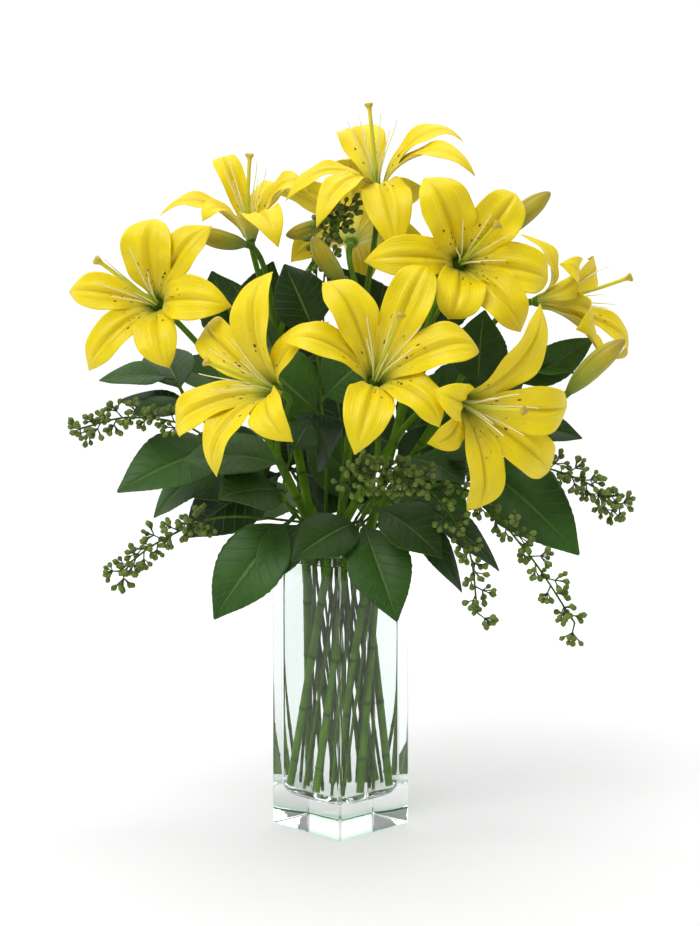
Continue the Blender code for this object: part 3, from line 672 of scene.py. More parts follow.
def add_tube(shape, path, radii, sides, side_marks=None, starts=0.0, lobes=None):
    """A closed tube; along is the length in metres from the start, or a share if starts < 0."""
    tangent = (path[1] - path[0]).normalized()
    normal = tangent.orthogonal().normalized()
    lengths = [0.0]
    for a, b in zip(path, path[1:]):
        lengths.append(lengths[-1] + (b - a).length)
    points, marks = [], []
    for i, point in enumerate(path):
        tangent = (path[min(i + 1, len(path) - 1)] - path[max(i - 1, 0)]).normalized()
        normal = (normal - tangent * normal.dot(tangent)).normalized()
        other = tangent.cross(normal)
        place = lengths[i] / lengths[-1] if starts < 0 else (starts + lengths[i]) * MM
        mark = side_marks[i] if side_marks else 0.0
        for k in range(sides):
            angle = 2 * math.pi * k / sides
            radius = radii[i] * (lobes(i, angle) if lobes else 1.0)
            points.append(point + (normal * math.cos(angle) + other * math.sin(angle)) * radius)
            marks.append((place, math.sin(angle), mark))
    points += [path[0].copy(), path[-1].copy()]
    marks += [(0.0, 0.0, marks[0][2]), marks[-1]]
    shape.add(points, ring_faces(len(path), sides), marks)


def add_sheet(shape, grid, thickness, shares):
    """A closed thin sheet round a grid of points; thickness(share, u) is in millimetres."""
    middle = np.array([[tuple(p) for p in row] for row in grid])
    rows, columns = middle.shape[:2]
    down = np.gradient(middle, axis=0)
    right = np.gradient(middle, axis=1)
    normal = np.cross(right, down)
    normal /= np.linalg.norm(normal, axis=2, keepdims=True) + 1e-12
    us = np.linspace(-1.0, 1.0, columns)
    half = np.array([[0.5 * thickness(s, u) for u in us] for s in shares])[..., None]
    points = np.concatenate([(middle + normal * half).reshape(-1, 3),
                             (middle - normal * half).reshape(-1, 3)])
    marks = [(s, u, side) for side in (1.0, 0.0) for s in shares for u in us]
    count = rows * columns
    faces = []
    for r in range(rows - 1):
        for c in range(columns - 1):
            a = r * columns + c
            b, d, e = a + 1, a + columns, a + columns + 1
            faces.append((a, d, e, b))
            faces.append((a + count, b + count, e + count, d + count))
    edge = [c for c in range(columns)]
    edge += [r * columns + columns - 1 for r in range(1, rows)]
    edge += [(rows - 1) * columns + c for c in range(columns - 2, -1, -1)]
    edge += [r * columns for r in range(rows - 2, 0, -1)]
    for a, b in zip(edge, edge[1:] + edge[:1]):
        faces.append((a, b, b + count, a + count))
    shape.add([Vector(p) for p in points], faces, marks)


def blade_grid(spine, side, width, table, shares, columns, relief):
    """Points of a blade; relief(share, u, half) gives (sideways factor, rise)."""
    grid = []
    for share in shares:
        low, high = max(share - 0.01, 0.0), min(share + 0.01, 1.0)
        ahead = (spine(high) - spine(low)).normalized()
        across = (side - ahead * side.dot(ahead)).normalized()
        normal = across.cross(ahead)
        half = 0.5 * width * outline(table, share)
        row = []
        for column in range(columns + 1):
            u = 2.0 * column / columns - 1.0
            stretch, rise = relief(share, u, half)
            row.append(spine(share) + across * (u * half * stretch) + normal * rise)
        grid.append(row)
    return grid


def dense_shares(count, tip=1.6):
    """Shares from 0 to 1 that crowd towards the tip."""
    return [1.0 - (1.0 - i / (count - 1)) ** tip for i in range(count)]


# ---------------------------------------------------------------- places of the plants


def from_rim(point):
    """A point whose height is measured from the rim of the vase."""
    return Vector(point) + Vector((0.0, 0.0, RIM))


def facing(yaw, pitch):
    """The axis of a flower, its upward direction and its right-hand direction."""
    yaw, pitch = math.radians(yaw), math.radians(pitch)
    axis = Vector((math.sin(yaw) * math.cos(pitch), -math.cos(yaw) * math.cos(pitch),
                   math.sin(pitch)))
    upward = (Vector((0, 0, 1)) - axis * axis.z).normalized()
    return axis, upward, upward.cross(axis)


def around(upward, right, clock):
    angle = math.radians(clock)
    return upward * math.cos(angle) + right * math.sin(angle)


def neck_line(ring, slot):
    """The foot and the neck point of a stem standing in this slot of a ring."""
    foot_radius, corner_extra, neck_radius, twist = ring
    high = math.radians(slot)
    low = high - math.radians(twist)
    foot_radius += corner_extra * max(0.0, math.cos(4 * low))
    foot = Vector((foot_radius * math.cos(low), foot_radius * math.sin(low), FOOT_HEIGHT))
    neck = Vector((neck_radius * math.cos(high), neck_radius * math.sin(high), NECK_HEIGHT))
    return foot, neck


def stem_path(ring, slot, above, steps):
    """The whole path of a stem and its number of points below the neck."""
    foot, neck = neck_line(ring, slot)
    along = (neck - foot).normalized()
    below = [foot.lerp(neck, k / 40) for k in range(40)]
    rest = spline([neck] + [from_rim(p) for p in above], steps, along * 30)
    return below + rest, len(below)


def share_point(path, share, skip):
    place = skip + share * (len(path) - 1 - skip)
    low = min(int(place), len(path) - 2)
    return path[low].lerp(path[low + 1], place - low)


def scarred(path, radii, spacing, swell, first):
    """Adds leaf scars to a stem: radii swell a little and a mark is set at each."""
    marks, place = [], 0.0
    for i, point in enumerate(path):
        if i:
            place += (point - path[i - 1]).length
        gap = abs((place - first + spacing / 2) % spacing - spacing / 2)
        peak = math.exp(-(gap / 1.5) ** 2)
        radii[i] *= 1.0 + swell * peak
        marks.append(peak)
    return marks


def even_path(path, step):
    """The same path with points about step apart."""
    dense = [path[0]]
    for a, b in zip(path, path[1:]):
        pieces = max(1, round((b - a).length / step))
        dense += [a.lerp(b, k / pieces) for k in range(1, pieces + 1)]
    return dense


# ---------------------------------------------------------------- makers


def square_ring(half, corner, z):
    """A square with rounded corners, standing on one of them as the vase does."""
    ring = []
    for quarter in range(4):
        for step in range(CORNER_STEPS + 1):
            angle = math.radians(90.0 * (quarter + step / CORNER_STEPS) + 45.0)
            centre = math.radians(90.0) * (quarter + 1.0)
            spread = (half - corner) * math.sqrt(2.0)
            ring.append(Vector((spread * math.cos(centre) + corner * math.cos(angle),
                                spread * math.sin(centre) + corner * math.sin(angle), z)))
    return ring


def add_loft(shape, rings):
    """A closed solid through rings; its two ends close on a middle point."""
    count = len(rings[0])
    points = [p for ring in rings for p in ring]
    points += [sum(rings[0], Vector()) / count, sum(rings[-1], Vector()) / count]
    shape.add(points, ring_faces(len(rings), count), [(0.0, 0.0, 0.0)] * len(points))


def vase_sizes():
    """Half the side across the flats, and the height, of the glass in its CAD node."""
    low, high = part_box("vase")
    corner = (high.x - low.x) / MM / 2
    half = (corner + OUTER_CORNER_CAD * (math.sqrt(2.0) - 1.0)) / math.sqrt(2.0)
    return half, (high.z - low.z) / MM


def cavity_rings(inner, grow):
    """The curved floor of the cavity, from its middle outwards, smoothly rounded."""
    rings = [square_ring(4.0, 3.0, CAVITY_FLOOR - grow)]
    rows = [Vector(row) for row in FLOOR_PROFILE]
    smooth = spline(rows, 6, Vector((8.0, 0.0, 0.1)))
    for inset, corner, rise in smooth:
        rings.append(square_ring(inner + inset + grow, corner + grow,
                                 CAVITY_FLOOR + max(rise, 0.0) - grow))
    return rings


def make_vase(settings):
    half, height = vase_sizes()
    inner = half - VASE_WALL
    rings = []
    for k in range(7):
        turn = math.radians(15.0 * k)
        rings.append(square_ring(half - EDGE_ROUND * (1 - math.sin(turn)), OUTER_CORNER,
                                 EDGE_ROUND * (1 - math.cos(turn))))
    for k in range(1, WALL_ROWS):
        rings.append(square_ring(half, OUTER_CORNER, EDGE_ROUND + (height - 2 * EDGE_ROUND)
                                 * k / WALL_ROWS))
    lip = VASE_WALL / 2
    for k in range(13):
        turn = math.radians(15.0 * k)
        bulge = math.sin(turn) * EDGE_ROUND
        place = half - lip + lip * math.cos(turn)
        share = k / 12
        corner = OUTER_CORNER + (CAVITY_CORNER - OUTER_CORNER) * share
        rings.append(square_ring(place, corner, height - EDGE_ROUND + bulge))
    inside = cavity_rings(inner, 0.0)
    for k in range(1, WALL_ROWS):
        rings.append(square_ring(inner, CAVITY_CORNER, height - EDGE_ROUND
                                 - (height - EDGE_ROUND - CAVITY_FLOOR - COVE_HEIGHT)
                                 * k / WALL_ROWS))
    rings += inside[::-1]
    shape = Shape()
    add_loft(shape, rings)
    colour = tuple(settings.glass_colour)
    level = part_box("water")[1].z / MM + MENISCUS
    glass = clear_paint("vase glass", colour, GLASS_IOR, 0.10)
    wet = clear_paint("wet vase glass", colour, GLASS_IOR / WATER_IOR, 0.10)

    def is_wet(centre):
        flat = (abs(centre.x) + abs(centre.y)) / math.sqrt(2.0)
        return centre.z < level and centre.z > CAVITY_FLOOR - 0.5 and flat < inner + 0.4
    shape.piece("vase", glass, "vase", (wet, is_wet))


def make_water(settings):
    """Still water up to its level, with a meniscus, reaching a hair into the glass."""
    half, _ = vase_sizes()
    inner = half - VASE_WALL
    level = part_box("water")[1].z / MM
    rings = cavity_rings(inner, WATER_INTO_GLASS)
    for k in range(1, WALL_ROWS + 1):
        height = CAVITY_FLOOR + COVE_HEIGHT + (level - CAVITY_FLOOR - COVE_HEIGHT) * k / WALL_ROWS
        rings.append(square_ring(inner + WATER_INTO_GLASS, CAVITY_CORNER + WATER_INTO_GLASS,
                                 height + (MENISCUS if k == WALL_ROWS else 0.0)))
    for drop, inset in MENISCUS_ROWS:
        rings.append(square_ring(inner - inset, CAVITY_CORNER - inset,
                                 level + MENISCUS * drop))
    shape = Shape()
    add_loft(shape, rings)
    colour = tuple(settings.water_colour)
    clear = clear_paint("vase water", colour, WATER_IOR, 0.03)
    sheer = sheer_paint("water against glass", colour)
    shape.piece("water", clear, "water", (sheer, lambda centre: centre.z < level - 0.5))


def tepal_spine(throat, axis, radial, reach, rise):
    length = math.hypot(reach, rise)
    start = throat - axis * CLAW_DEPTH + radial * CLAW_RING
    lift = start + axis * (0.36 * length) + radial * (0.10 * length)
    tip = throat + radial * reach + axis * rise
    crest = tip - radial * (0.34 * length) + axis * (0.28 * length)
    return lambda share: bezier(start, lift, crest, tip, share)


def make_tepal(name, node, throat, axis, radial, row, material, draw, ruffle):
    _, reach, rise, width = row
    phase, beat = draw.uniform(0.0, 6.28), draw.uniform(2.2, 3.2)
    lean = draw.uniform(-0.05, 0.05)
    curl = draw.uniform(0.25, 0.55)

    def relief(share, u, half):
        edge = abs(u)
        window = math.sin(math.pi * min(1.0, share * 1.06)) ** 0.8
        cup = half * u * u * tepal_cup(share)
        groove = -0.13 * half * math.exp(-(u / 0.11) ** 2)
        ridges = 0.085 * half * math.exp(-((edge - 0.26) / 0.14) ** 2)
        wave = ruffle * half * edge ** 2.5 * window * math.sin(
            6.28 * beat * share + phase + (2.1 if u > 0 else 0.0))
        tip = -curl * width * max(0.0, share - 0.60) ** 2 * 4.2
        dent = lean * half * u * window
        return 1.0 + 0.02 * math.sin(9 * share + phase), (
            cup + (groove + ridges) * window + wave + tip + dent)

    def thickness(share, u):
        return (0.9 - 0.55 * u * u) * (1.0 - 0.45 * share)

    shares = dense_shares(46)
    spine = tepal_spine(throat, axis, radial, reach, rise)
    shape = Shape()
    grid = blade_grid(spine, radial.cross(axis), width, TEPAL_OUTLINE, shares, 24, relief)
    add_sheet(shape, grid, thickness, shares)
    shape.piece(name, material, node)


def tepal_cup(share):
    """Edges rise towards the inner face in the lower half and fold back at the tip."""
    return 1.5 * share * (0.78 - share)


def make_flower(name, row, paints, draw, ruffle):
    throat, yaw, pitch, _, tepals = row
    throat = from_rim(throat)
    axis, upward, right = facing(yaw, pitch)
    node = f"lily_{name}_petals"
    for index, tepal in enumerate(tepals):
        radial = around(upward, right, tepal[0])
        make_tepal(f"lily_{name}_tepal_{index + 1}", node, throat, axis, radial, tepal,
                   paints["petal"], draw, ruffle)
    shape = Shape()
    path = [throat - axis * (RECEPTACLE_DEPTH - k) for k in range(11)]
    radii = [2.9, 3.6, 4.0, 4.3, 4.7, 5.1, 5.4, 5.6, 5.6, 5.2, 4.2]
    add_tube(shape, path, radii, 24, lobes=lambda i, a: 1.0 + 0.035 * math.cos(6 * a))
    shape.piece(f"lily_{name}_receptacle", paints["lily_stem"], node)


def make_pistil(name, row, paints, draw):
    throat, yaw, pitch, (clock, reach, rise), _ = row
    throat = from_rim(throat)
    axis, upward, right = facing(yaw, pitch)
    lean = around(upward, right, clock)
    start = throat - axis * (RECEPTACLE_TOP - PISTIL_GAP)
    end = throat + lean * reach + axis * rise
    node = f"lily_{name}_pistil"
    count = 44
    path = [bezier(start, start + axis * 24, end - axis * 16 - lean * reach * 0.35, end,
                   k / (count - 1)) for k in range(count)]
    table = ((0.0, 2.2), (0.1, 2.5), (0.22, 2.5), (0.3, 1.7), (0.6, 1.6), (0.88, 1.8),
             (0.93, 2.2), (0.965, 3.5), (0.99, 3.6), (1.0, 2.6))
    radii = [outline(table, k / (count - 1)) for k in range(count)]

    def lobes(i, angle):
        share = i / (count - 1)
        depth = 0.24 if share > 0.92 else 0.08
        return 1.0 + depth * math.cos(3 * angle)
    shape = Shape()
    add_tube(shape, path, radii, 24, starts=-1.0, lobes=lobes)
    shape.piece(f"lily_{name}_pistil", paints["pistil"], node)
    shape = Shape()
    for index in range(6):
        out = around(upward, right, 60 * index + 15)
        root = start + axis * 0.6 + out * 2.2
        far = (throat + axis * (FILAMENT_RISE + draw.uniform(-4, 3)) + lean * (0.35 * reach)
               + out * (FILAMENT_REACH + draw.uniform(-4, 4)))
        mid = root + axis * 26 + out * 2
        path = [bezier(root, mid, far - axis * 18 - out * 4, far, k / 24) for k in range(25)]
        add_tube(shape, path, [0.85 - 0.021 * k for k in range(25)], 8, starts=-1.0)
    shape.piece(f"lily_{name}_filaments", paints["filament"], node)


def make_bud(name, row, paints):
    base, tip, radius = from_rim(row[0]), from_rim(row[1]), row[2]
    axis = (tip - base).normalized()
    bend = axis.cross(Vector((0, 1, 0))).normalized() * 1.6
    table = ((0.0, 0.36), (0.06, 0.52), (0.2, 0.80), (0.5, 1.0), (0.75, 0.86),
             (0.92, 0.46), (0.98, 0.22), (1.0, 0.08))
    count = 60
    path = [base.lerp(tip, k / (count - 1)) + bend * math.sin(math.pi * k / (count - 1))
            for k in range(count)]
    radii = [radius * outline(table, k / (count - 1)) for k in range(count)]

    def lobes(i, angle):
        share = i / (count - 1)
        seam = math.exp(-((math.cos(1.5 * angle)) / 0.16) ** 2)
        rib = math.exp(-((math.sin(1.5 * angle)) / 0.22) ** 2)
        return 1.0 - 0.10 * seam * min(1.0, share * 4) + 0.035 * rib
    shape = Shape()
    add_tube(shape, path, radii, 48, starts=-1.0, lobes=lobes)
    for index, (place, across, _) in enumerate(shape.marks):
        angle = 2 * math.pi * (index % 48) / 48
        shape.marks[index] = (place, across, math.exp(-((math.cos(1.5 * angle)) / 0.14) ** 2))
    shape.piece("bud_" + name, paints["bud"], "bud_" + name)


def make_leaf(name, node, start, tip, width, face, material, draw, table=LEAF_OUTLINE,
              saw=0.018, bend=0.12):
    """A leaf with a folded midrib, waved edges and fine teeth."""
    tip, face = from_rim(tip), Vector(face)
    run = tip - start
    side = run.cross(face).normalized()
    up = side.cross(run).normalized()
    rise = up * (bend * run.length)
    sway = side * draw.uniform(-0.05, 0.05) * run.length
    lift, crest = start + run * 0.3 + rise, start + run * 0.7 + rise + sway
    phase, beat = draw.uniform(0.0, 6.28), draw.uniform(1.2, 2.2)
    droop = draw.uniform(0.00, 0.10)

    def spine(share):
        return bezier(start, lift, crest, tip, share)

    def relief(share, u, half):
        edge = abs(u)
        tooth = 1.0 + saw * math.sin(150.0 * share) * edge ** 6
        fold = half * (0.30 * edge - 0.16 * edge * edge)
        wave = 0.06 * half * edge ** 2 * math.sin(6.28 * beat * share + phase
                                                   + (1.7 if u > 0 else 0.0))
        vein = 0.010 * half * math.sin(6.28 * (11.0 * share - 2.3 * edge)) * edge * (1 - edge)
        keel = -0.035 * half * math.exp(-(u / 0.05) ** 2)
        return tooth, fold + wave + vein + keel - droop * half * share * share

    def thickness(share, u):
        petiole = 1.5 * max(0.0, 1.0 - share / 0.16)
        return 0.5 + petiole + 0.5 * math.exp(-(u / 0.07) ** 2) * (1 - share)

    shares = dense_shares(44, 1.35)
    shape = Shape()
    grid = blade_grid(spine, side, width, table, shares, 24, relief)
    add_sheet(shape, grid, thickness, shares)
    shape.piece(name, material, node)


def flower_base(name):
    throat, yaw, pitch = FLOWERS[name][:3]
    axis = facing(yaw, pitch)[0]
    return from_rim(throat) - axis * RECEPTACLE_DEPTH, axis


def bud_base(name):
    base, tip = from_rim(BUDS[name][0]), from_rim(BUDS[name][1])
    return base, (tip - base).normalized()


def make_lily_stem(name, row, paints, draw):
    slot, fork, flowers, buds, leaves = row
    path, skip = stem_path(OUTER_RING, slot, (fork,), 16)
    coarse = list(path)
    path = even_path(path, 1.6)
    neck = int(len(path) * skip / len(coarse))
    radii = [LILY_STEM_RADIUS * (1.0 - 0.16 * max(0, i - neck) / len(path))
             for i in range(len(path))]
    scars = scarred(path, radii, 46.0, 0.10, draw.uniform(18, 40))
    shape = Shape()
    add_tube(shape, path, radii, 20, side_marks=scars,
             lobes=lambda i, a: 1.0 + 0.03 * math.cos(3 * a + i * 0.01))
    fork = from_rim(fork)
    along = (coarse[-1] - coarse[-2]).normalized()
    ends = [flower_base(head) for head in flowers] + [bud_base(head) for head in buds]
    for index, (end, axis) in enumerate(ends):
        start = fork - along * (5 + 5 * index)
        far = (end - start).length
        last = end - axis * 3
        curve = [bezier(start, start + along * far * 0.4, last - axis * far * 0.3, last, k / 24)
                 for k in range(25)] + [end + axis * 0.4]
        radii = [PEDICEL_RADIUS + 0.5 * math.exp(-((k - 25) / 3.0) ** 2)
                 + 0.8 * math.exp(-(k / 3.0) ** 2) for k in range(26)]
        add_tube(shape, curve, radii, 14, starts=200.0)
    node = "lily_stem_" + name
    shape.piece(node, paints["lily_stem"], node)
    for index, (share, tip, width) in enumerate(leaves):
        start = share_point(coarse, share, skip)
        make_leaf(f"{node}_leaf_{index + 1}", node, start, tip, width, (0, 0.3, 0.95),
                  paints["leaf"], draw, BLADE_OUTLINE, 0.0)


def make_salal(name, row, paints, draw):
    ring, slot, above, leaves = row
    node = "salal_" + name
    path, skip = stem_path(ring, slot, above, 12)
    fine = even_path(path, 2.0)
    radii = [THIN_STEM_RADIUS * (1.0 - 0.35 * (i / len(fine)) ** 2) for i in range(len(fine))]
    scars = scarred(fine, radii, 27.0, 0.22, draw.uniform(6, 22))
    shape = Shape()
    add_tube(shape, fine, radii, 14, side_marks=scars)
    shape.piece(node + "_stem", paints["thin_stem"], node)
    for index, (share, tip, width, face) in enumerate(leaves):
        paint = paints[("leaf", "leaf_bright", "leaf_dark")[draw.randrange(3)]]
        make_leaf(f"{node}_leaf_{index + 1}", node, share_point(path, share, skip), tip,
                  width * LEAF_FULLNESS, face, paint, draw)


def make_inner_leaves(name, rows, paints, draw):
    ring, slot, above, _ = SALAL[name]
    path, skip = stem_path(ring, slot, above, 12)
    node = "salal_" + name
    for index, (share, tip, width) in enumerate(rows):
        # Painted shade: every inner leaf takes the darkest leaf paint, standing for the shade in
        # the middle of the bouquet.
        make_leaf(f"{node}_inner_leaf_{index + 1}", node, share_point(path, share, skip), tip,
                  width * LEAF_FULLNESS, INNER_LEAF_FACE, paints["leaf_dark"], draw)


def add_seed(shape, base, axis, size):
    """A top-shaped capsule with a small pointed cap."""
    table = ((0.0, 0.30), (0.2, 0.66), (0.45, 0.95), (0.62, 1.0), (0.78, 0.80),
             (0.88, 0.42), (0.95, 0.20), (1.0, 0.06))
    rows = [k / 9 for k in range(10)]
    path = [base + axis * (size * 2.7 * share) for share in rows]
    start = len(shape.marks)
    add_tube(shape, path, [size * outline(table, share) for share in rows], 10, starts=-1.0)
    shape.marks[start:] = [(a, u, 1.0) for a, u, _ in shape.marks[start:]]


def make_eucalyptus(name, row, paints, draw):
    ring, slot, above, seeds, stalk, first = row
    node = "eucalyptus_" + name
    path, skip = stem_path(ring, slot, above, 12)
    fine = even_path(path, 2.0)
    radii = [THIN_STEM_RADIUS * (1.0 - 0.55 * i / len(fine)) for i in range(len(fine))]
    scars = scarred(fine, radii, 22.0, 0.20, draw.uniform(4, 18))
    shape = Shape()
    add_tube(shape, fine, radii, 12, side_marks=scars)
    shape.piece(node + "_twig", paints["twig"], node)
    shape = Shape()
    for index in range(seeds):
        share = first + (1.0 - first) * index / (seeds - 1)
        start = share_point(path, share, skip)
        along = (share_point(path, min(share + 0.05, 1.0), skip)
                 - share_point(path, share - 0.05, skip)).normalized()
        across = along.orthogonal().normalized()
        turn = GOLDEN * index
        out = across * math.cos(turn) + along.cross(across) * math.sin(turn)
        aim = (out + along * 0.7).normalized()
        reach = stalk * (1.0 - 0.25 * (index % 3))
        add_cluster(shape, start, aim, reach, draw)
    shape.piece(node + "_seeds", paints["seed"], node)


def add_cluster(shape, start, aim, reach, draw):
    """A stalk with a loose group of seeds on short stalks of their own."""
    other = aim.orthogonal().normalized()
    fork = start + aim * reach * 0.55
    add_tube(shape, [start, start + aim * reach * 0.3, fork], [0.75, 0.6, 0.6], 6)
    count = 6 if reach > 10 else 4
    for k in range(count):
        turn = GOLDEN * k + draw.uniform(0, 1.2)
        out = other * math.cos(turn) + aim.cross(other) * math.sin(turn)
        way = (aim + out * (0.15 if k == 0 else draw.uniform(0.7, 1.6))).normalized()
        length = reach * 0.45 if k == 0 else draw.uniform(0.28, 0.58) * reach
        tip = fork + way * length
        add_tube(shape, [fork, fork + way * length * 0.5, tip], [0.55, 0.5, 0.6], 6)
        add_seed(shape, tip - way * 0.3, way, draw.uniform(1.9, 2.6))


def make_paints(settings):
    return {
        "petal": petal_paint(settings),
        "leaf": leaf_paint("salal leaf", settings, 0.85, 0.36),
        "leaf_bright": leaf_paint("young salal leaf", settings, 1.35, 0.38),
        # The darkest leaf paint is drawn at random for some leaves, and is painted shade on the
        # inner leaves in the middle of the bouquet.
        "leaf_dark": leaf_paint("old salal leaf", settings, 0.55, 0.33),
        "lily_stem": stem_paint("lily stem", tuple(settings.stem_colour), (0.02, 0.045, 0.008)),
        "thin_stem": stem_paint("salal stem", tint(tuple(settings.stem_colour), 0.75),
                                (0.040, 0.065, 0.010)),
        "twig": stem_paint("eucalyptus twig", (0.060, 0.120, 0.010), (0.030, 0.040, 0.008)),
        "bud": bud_paint(settings),
        "pistil": pistil_paint(),
        "filament": filament_paint(),
        "seed": seed_paint(settings),
    }


PAINTS = {}


def paints_for(settings):
    """The plant materials, made once."""
    if not PAINTS:
        PAINTS.update(make_paints(settings))
    return PAINTS


# ---------------------------------------------------------------- settings and operators


def colour_setting(label, note, default):
    return bpy.props.FloatVectorProperty(name=label, description=note, default=default,
                                         subtype="COLOR", size=3, min=0.0, max=1.0)


class LilySettings(bpy.types.PropertyGroup):
    petal_colour: colour_setting("Petal", "Yellow of the open petals", (0.90, 0.69, 0.003))
    throat_colour: colour_setting("Throat", "Pale colour inside the flower", (0.78, 0.74, 0.14))
    ruffle: bpy.props.FloatProperty(name="Ruffle", description="Wave of the petal edges",
                                    default=0.13, min=0.0, max=0.3, subtype="FACTOR")


class GreenerySettings(bpy.types.PropertyGroup):
    leaf_colour: colour_setting("Leaf", "Green of the salal leaves", (0.021, 0.064, 0.006))
    stem_colour: colour_setting("Stem", "Green of the lily stems", (0.075, 0.165, 0.008))
    seed_colour: colour_setting("Seed", "Olive of the eucalyptus seeds", (0.130, 0.195, 0.030))
    seed: bpy.props.IntProperty(name="Seed", description="Start of the random draws",
                                default=7, min=0)


class StudioSettings(bpy.types.PropertyGroup):
    glass_colour: colour_setting("Glass", "Tint of the vase", (0.955, 0.975, 0.965))
    water_colour: colour_setting("Water", "Tint of the water", (0.985, 0.995, 0.995))
    floor_colour: colour_setting("Floor", "Pale floor and backdrop", (0.83, 0.83, 0.83))
    lamp_power: bpy.props.FloatProperty(name="Lamp power", description="Power of the key lamp",
                                        default=40.0, min=0.0, unit="POWER")


class AllSettings:
    """Reads a setting from whichever group holds it."""

    def __init__(self, scene):
        self.groups = (scene.lily_settings, scene.greenery_settings, scene.studio_settings)

    def __getattr__(self, name):
        for group in self.groups:
            if hasattr(group, name):
                return getattr(group, name)
        raise AttributeError(name)


def build_each(context, table, make, draws, *more):
    """Makes one thing for each row of a table; draws numbers its own random draws."""
    settings = AllSettings(context.scene)
    draw = random.Random(settings.seed + draws)
    for name, row in table.items():
        make(name, row, paints_for(settings), draw, *more)
    return draw


class BuildVase(bpy.types.Operator):
    """Builds the square glass vase"""
    bl_idname = "lilies.build_vase"
    bl_label = "Vase"

    def execute(self, context):
        make_vase(AllSettings(context.scene))
        return {"FINISHED"}


class BuildWater(bpy.types.Operator):
    """Builds the water in the vase"""
    bl_idname = "lilies.build_water"
    bl_label = "Water"

    def execute(self, context):
        make_water(AllSettings(context.scene))
        return {"FINISHED"}


class BuildFlowers(bpy.types.Operator):
    """Builds the open lilies petal by petal"""
    bl_idname = "lilies.build_flowers"
    bl_label = "Open lilies"

    def execute(self, context):
        build_each(context, FLOWERS, make_flower, 0, AllSettings(context.scene).ruffle)
        return {"FINISHED"}


class BuildPistils(bpy.types.Operator):
    """Builds the pistil and the filaments of each open lily"""
    bl_idname = "lilies.build_pistils"
    bl_label = "Pistils and filaments"

    def execute(self, context):
        build_each(context, FLOWERS, make_pistil, 1)
        return {"FINISHED"}


class BuildBuds(bpy.types.Operator):
    """Builds the closed buds"""
    bl_idname = "lilies.build_buds"
    bl_label = "Buds"

    def execute(self, context):
        for name, row in BUDS.items():
            make_bud(name, row, paints_for(AllSettings(context.scene)))
        return {"FINISHED"}


class BuildStems(bpy.types.Operator):
    """Builds the lily stems with their flower stalks and narrow leaves"""
    bl_idname = "lilies.build_stems"
    bl_label = "Lily stems"

    def execute(self, context):
        build_each(context, LILY_STEMS, make_lily_stem, 2)
        return {"FINISHED"}


class BuildSalal(bpy.types.Operator):
    """Builds the salal sprigs leaf by leaf"""
    bl_idname = "lilies.build_salal"
    bl_label = "Salal leaves"

    def execute(self, context):
        draw = build_each(context, SALAL, make_salal, 3)
        for name, rows in INNER_LEAVES.items():
            make_inner_leaves(name, rows, paints_for(AllSettings(context.scene)), draw)
        return {"FINISHED"}


class BuildEucalyptus(bpy.types.Operator):
    """Builds the seeded eucalyptus twigs"""
    bl_idname = "lilies.build_eucalyptus"
    bl_label = "Seeded eucalyptus"

    def execute(self, context):
        build_each(context, EUCALYPTUS, make_eucalyptus, 4)
        return {"FINISHED"}


class BuildStage(bpy.types.Operator):
    """Builds the floor, the soft lamps and the camera"""
    bl_idname = "lilies.build_stage"
    bl_label = "Studio"

    def execute(self, context):
        settings = AllSettings(context.scene)
        make_floor(settings)
        make_lamps(settings)
        make_camera()
        return {"FINISHED"}


class LILIES_PT_panel(bpy.types.Panel):
    """Lists the builders of the bouquet and its settings"""
    bl_label = "Lilies in a Vase"
    bl_space_type = "VIEW_3D"
    bl_region_type = "UI"
    bl_category = "Lilies"

    def draw(self, context):
        for label, group in (("Lilies", context.scene.lily_settings),
                             ("Greenery", context.scene.greenery_settings),
                             ("Studio", context.scene.studio_settings)):
            box = self.layout.box()
            box.label(text=label)
            for name in group.bl_rna.properties.keys():
                if name not in ("rna_type", "name"):
                    box.prop(group, name)
        for operator in OPERATORS:
            self.layout.operator(operator.bl_idname)


OPERATORS = (BuildVase, BuildWater, BuildFlowers, BuildPistils, BuildBuds, BuildStems,
             BuildSalal, BuildEucalyptus, BuildStage)
GROUPS = {"lily_settings": LilySettings, "greenery_settings": GreenerySettings,
          "studio_settings": StudioSettings}


# ---------------------------------------------------------------- studio


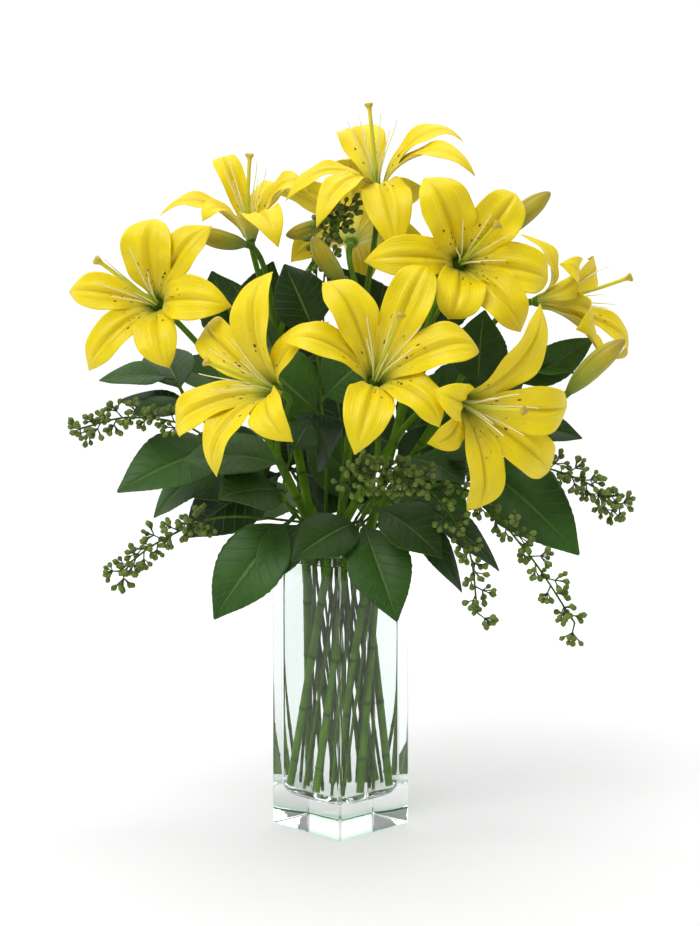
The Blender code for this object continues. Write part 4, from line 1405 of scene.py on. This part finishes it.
def make_floor(settings):
    """A floor that curves up into a backdrop behind the vase."""
    profile = [(FLOOR_FRONT, 0.0)]
    for k in range(25):
        turn = math.radians(90.0 * k / 24)
        profile.append((FLOOR_BACK + BACKDROP_CURVE * math.sin(turn),
                        BACKDROP_CURVE * (1 - math.cos(turn))))
    profile.append((FLOOR_BACK + BACKDROP_CURVE, BACKDROP_TOP))
    points, faces = [], []
    for y, z in profile:
        points += [(x, y, z - AIR_UNDER) for x in (-FLOOR_HALF_WIDTH, FLOOR_HALF_WIDTH)]
    for k in range(len(profile) - 1):
        a = 2 * k
        faces.append((a, a + 1, a + 3, a + 2))
    mesh = bpy.data.meshes.new("studio_floor")
    mesh.from_pydata(points, [], faces)
    mesh.shade_smooth()
    mesh.materials.append(floor_paint(settings))
    floor = bpy.data.objects.new("studio_floor", mesh)
    bpy.context.scene.collection.objects.link(floor)


def add_lamp(name, place, aim, size, power):
    data = bpy.data.lights.new(name, "AREA")
    data.shape = "RECTANGLE"
    data.size, data.size_y = size
    data.energy = power
    lamp = bpy.data.objects.new(name, data)
    lamp.location = place
    lamp.rotation_euler = (Vector(aim) - Vector(place)).to_track_quat("-Z", "Y").to_euler()
    bpy.context.scene.collection.objects.link(lamp)


def make_lamps(settings):
    for name, place, aim, size, share in LAMPS:
        add_lamp(name, place, aim, size, settings.lamp_power * share)
    world = bpy.data.worlds.new("studio light")
    world.use_nodes = True
    sky = world.node_tree.nodes["Background"]
    sky.inputs["Color"].default_value = (1.0, 1.0, 1.0, 1.0)
    sky.inputs["Strength"].default_value = SKY_STRENGTH
    bpy.context.scene.world = world
    bpy.context.scene.view_settings.view_transform = "Standard"


def make_camera():
    data = bpy.data.cameras.new("camera")
    data.lens = CAMERA_LENS
    data.sensor_width = 36.0
    camera = bpy.data.objects.new("camera", data)
    camera.location = CAMERA_PLACE
    camera.rotation_euler = (math.radians(90.0 - CAMERA_DROP), 0.0, 0.0)
    bpy.context.scene.collection.objects.link(camera)
    bpy.context.scene.camera = camera


# ---------------------------------------------------------------- run


def register():
    for cls in (*GROUPS.values(), *OPERATORS, LILIES_PT_panel):
        bpy.utils.register_class(cls)
    for name, group in GROUPS.items():
        setattr(bpy.types.Scene, name, bpy.props.PointerProperty(type=group))


def unregister():
    for name in GROUPS:
        delattr(bpy.types.Scene, name)
    for cls in reversed((*GROUPS.values(), *OPERATORS, LILIES_PT_panel)):
        bpy.utils.unregister_class(cls)


def main():
    register()
    for operator in OPERATORS:
        group, name = operator.bl_idname.split(".")
        getattr(getattr(bpy.ops, group), name)()


if __name__ == "__main__":
    main()
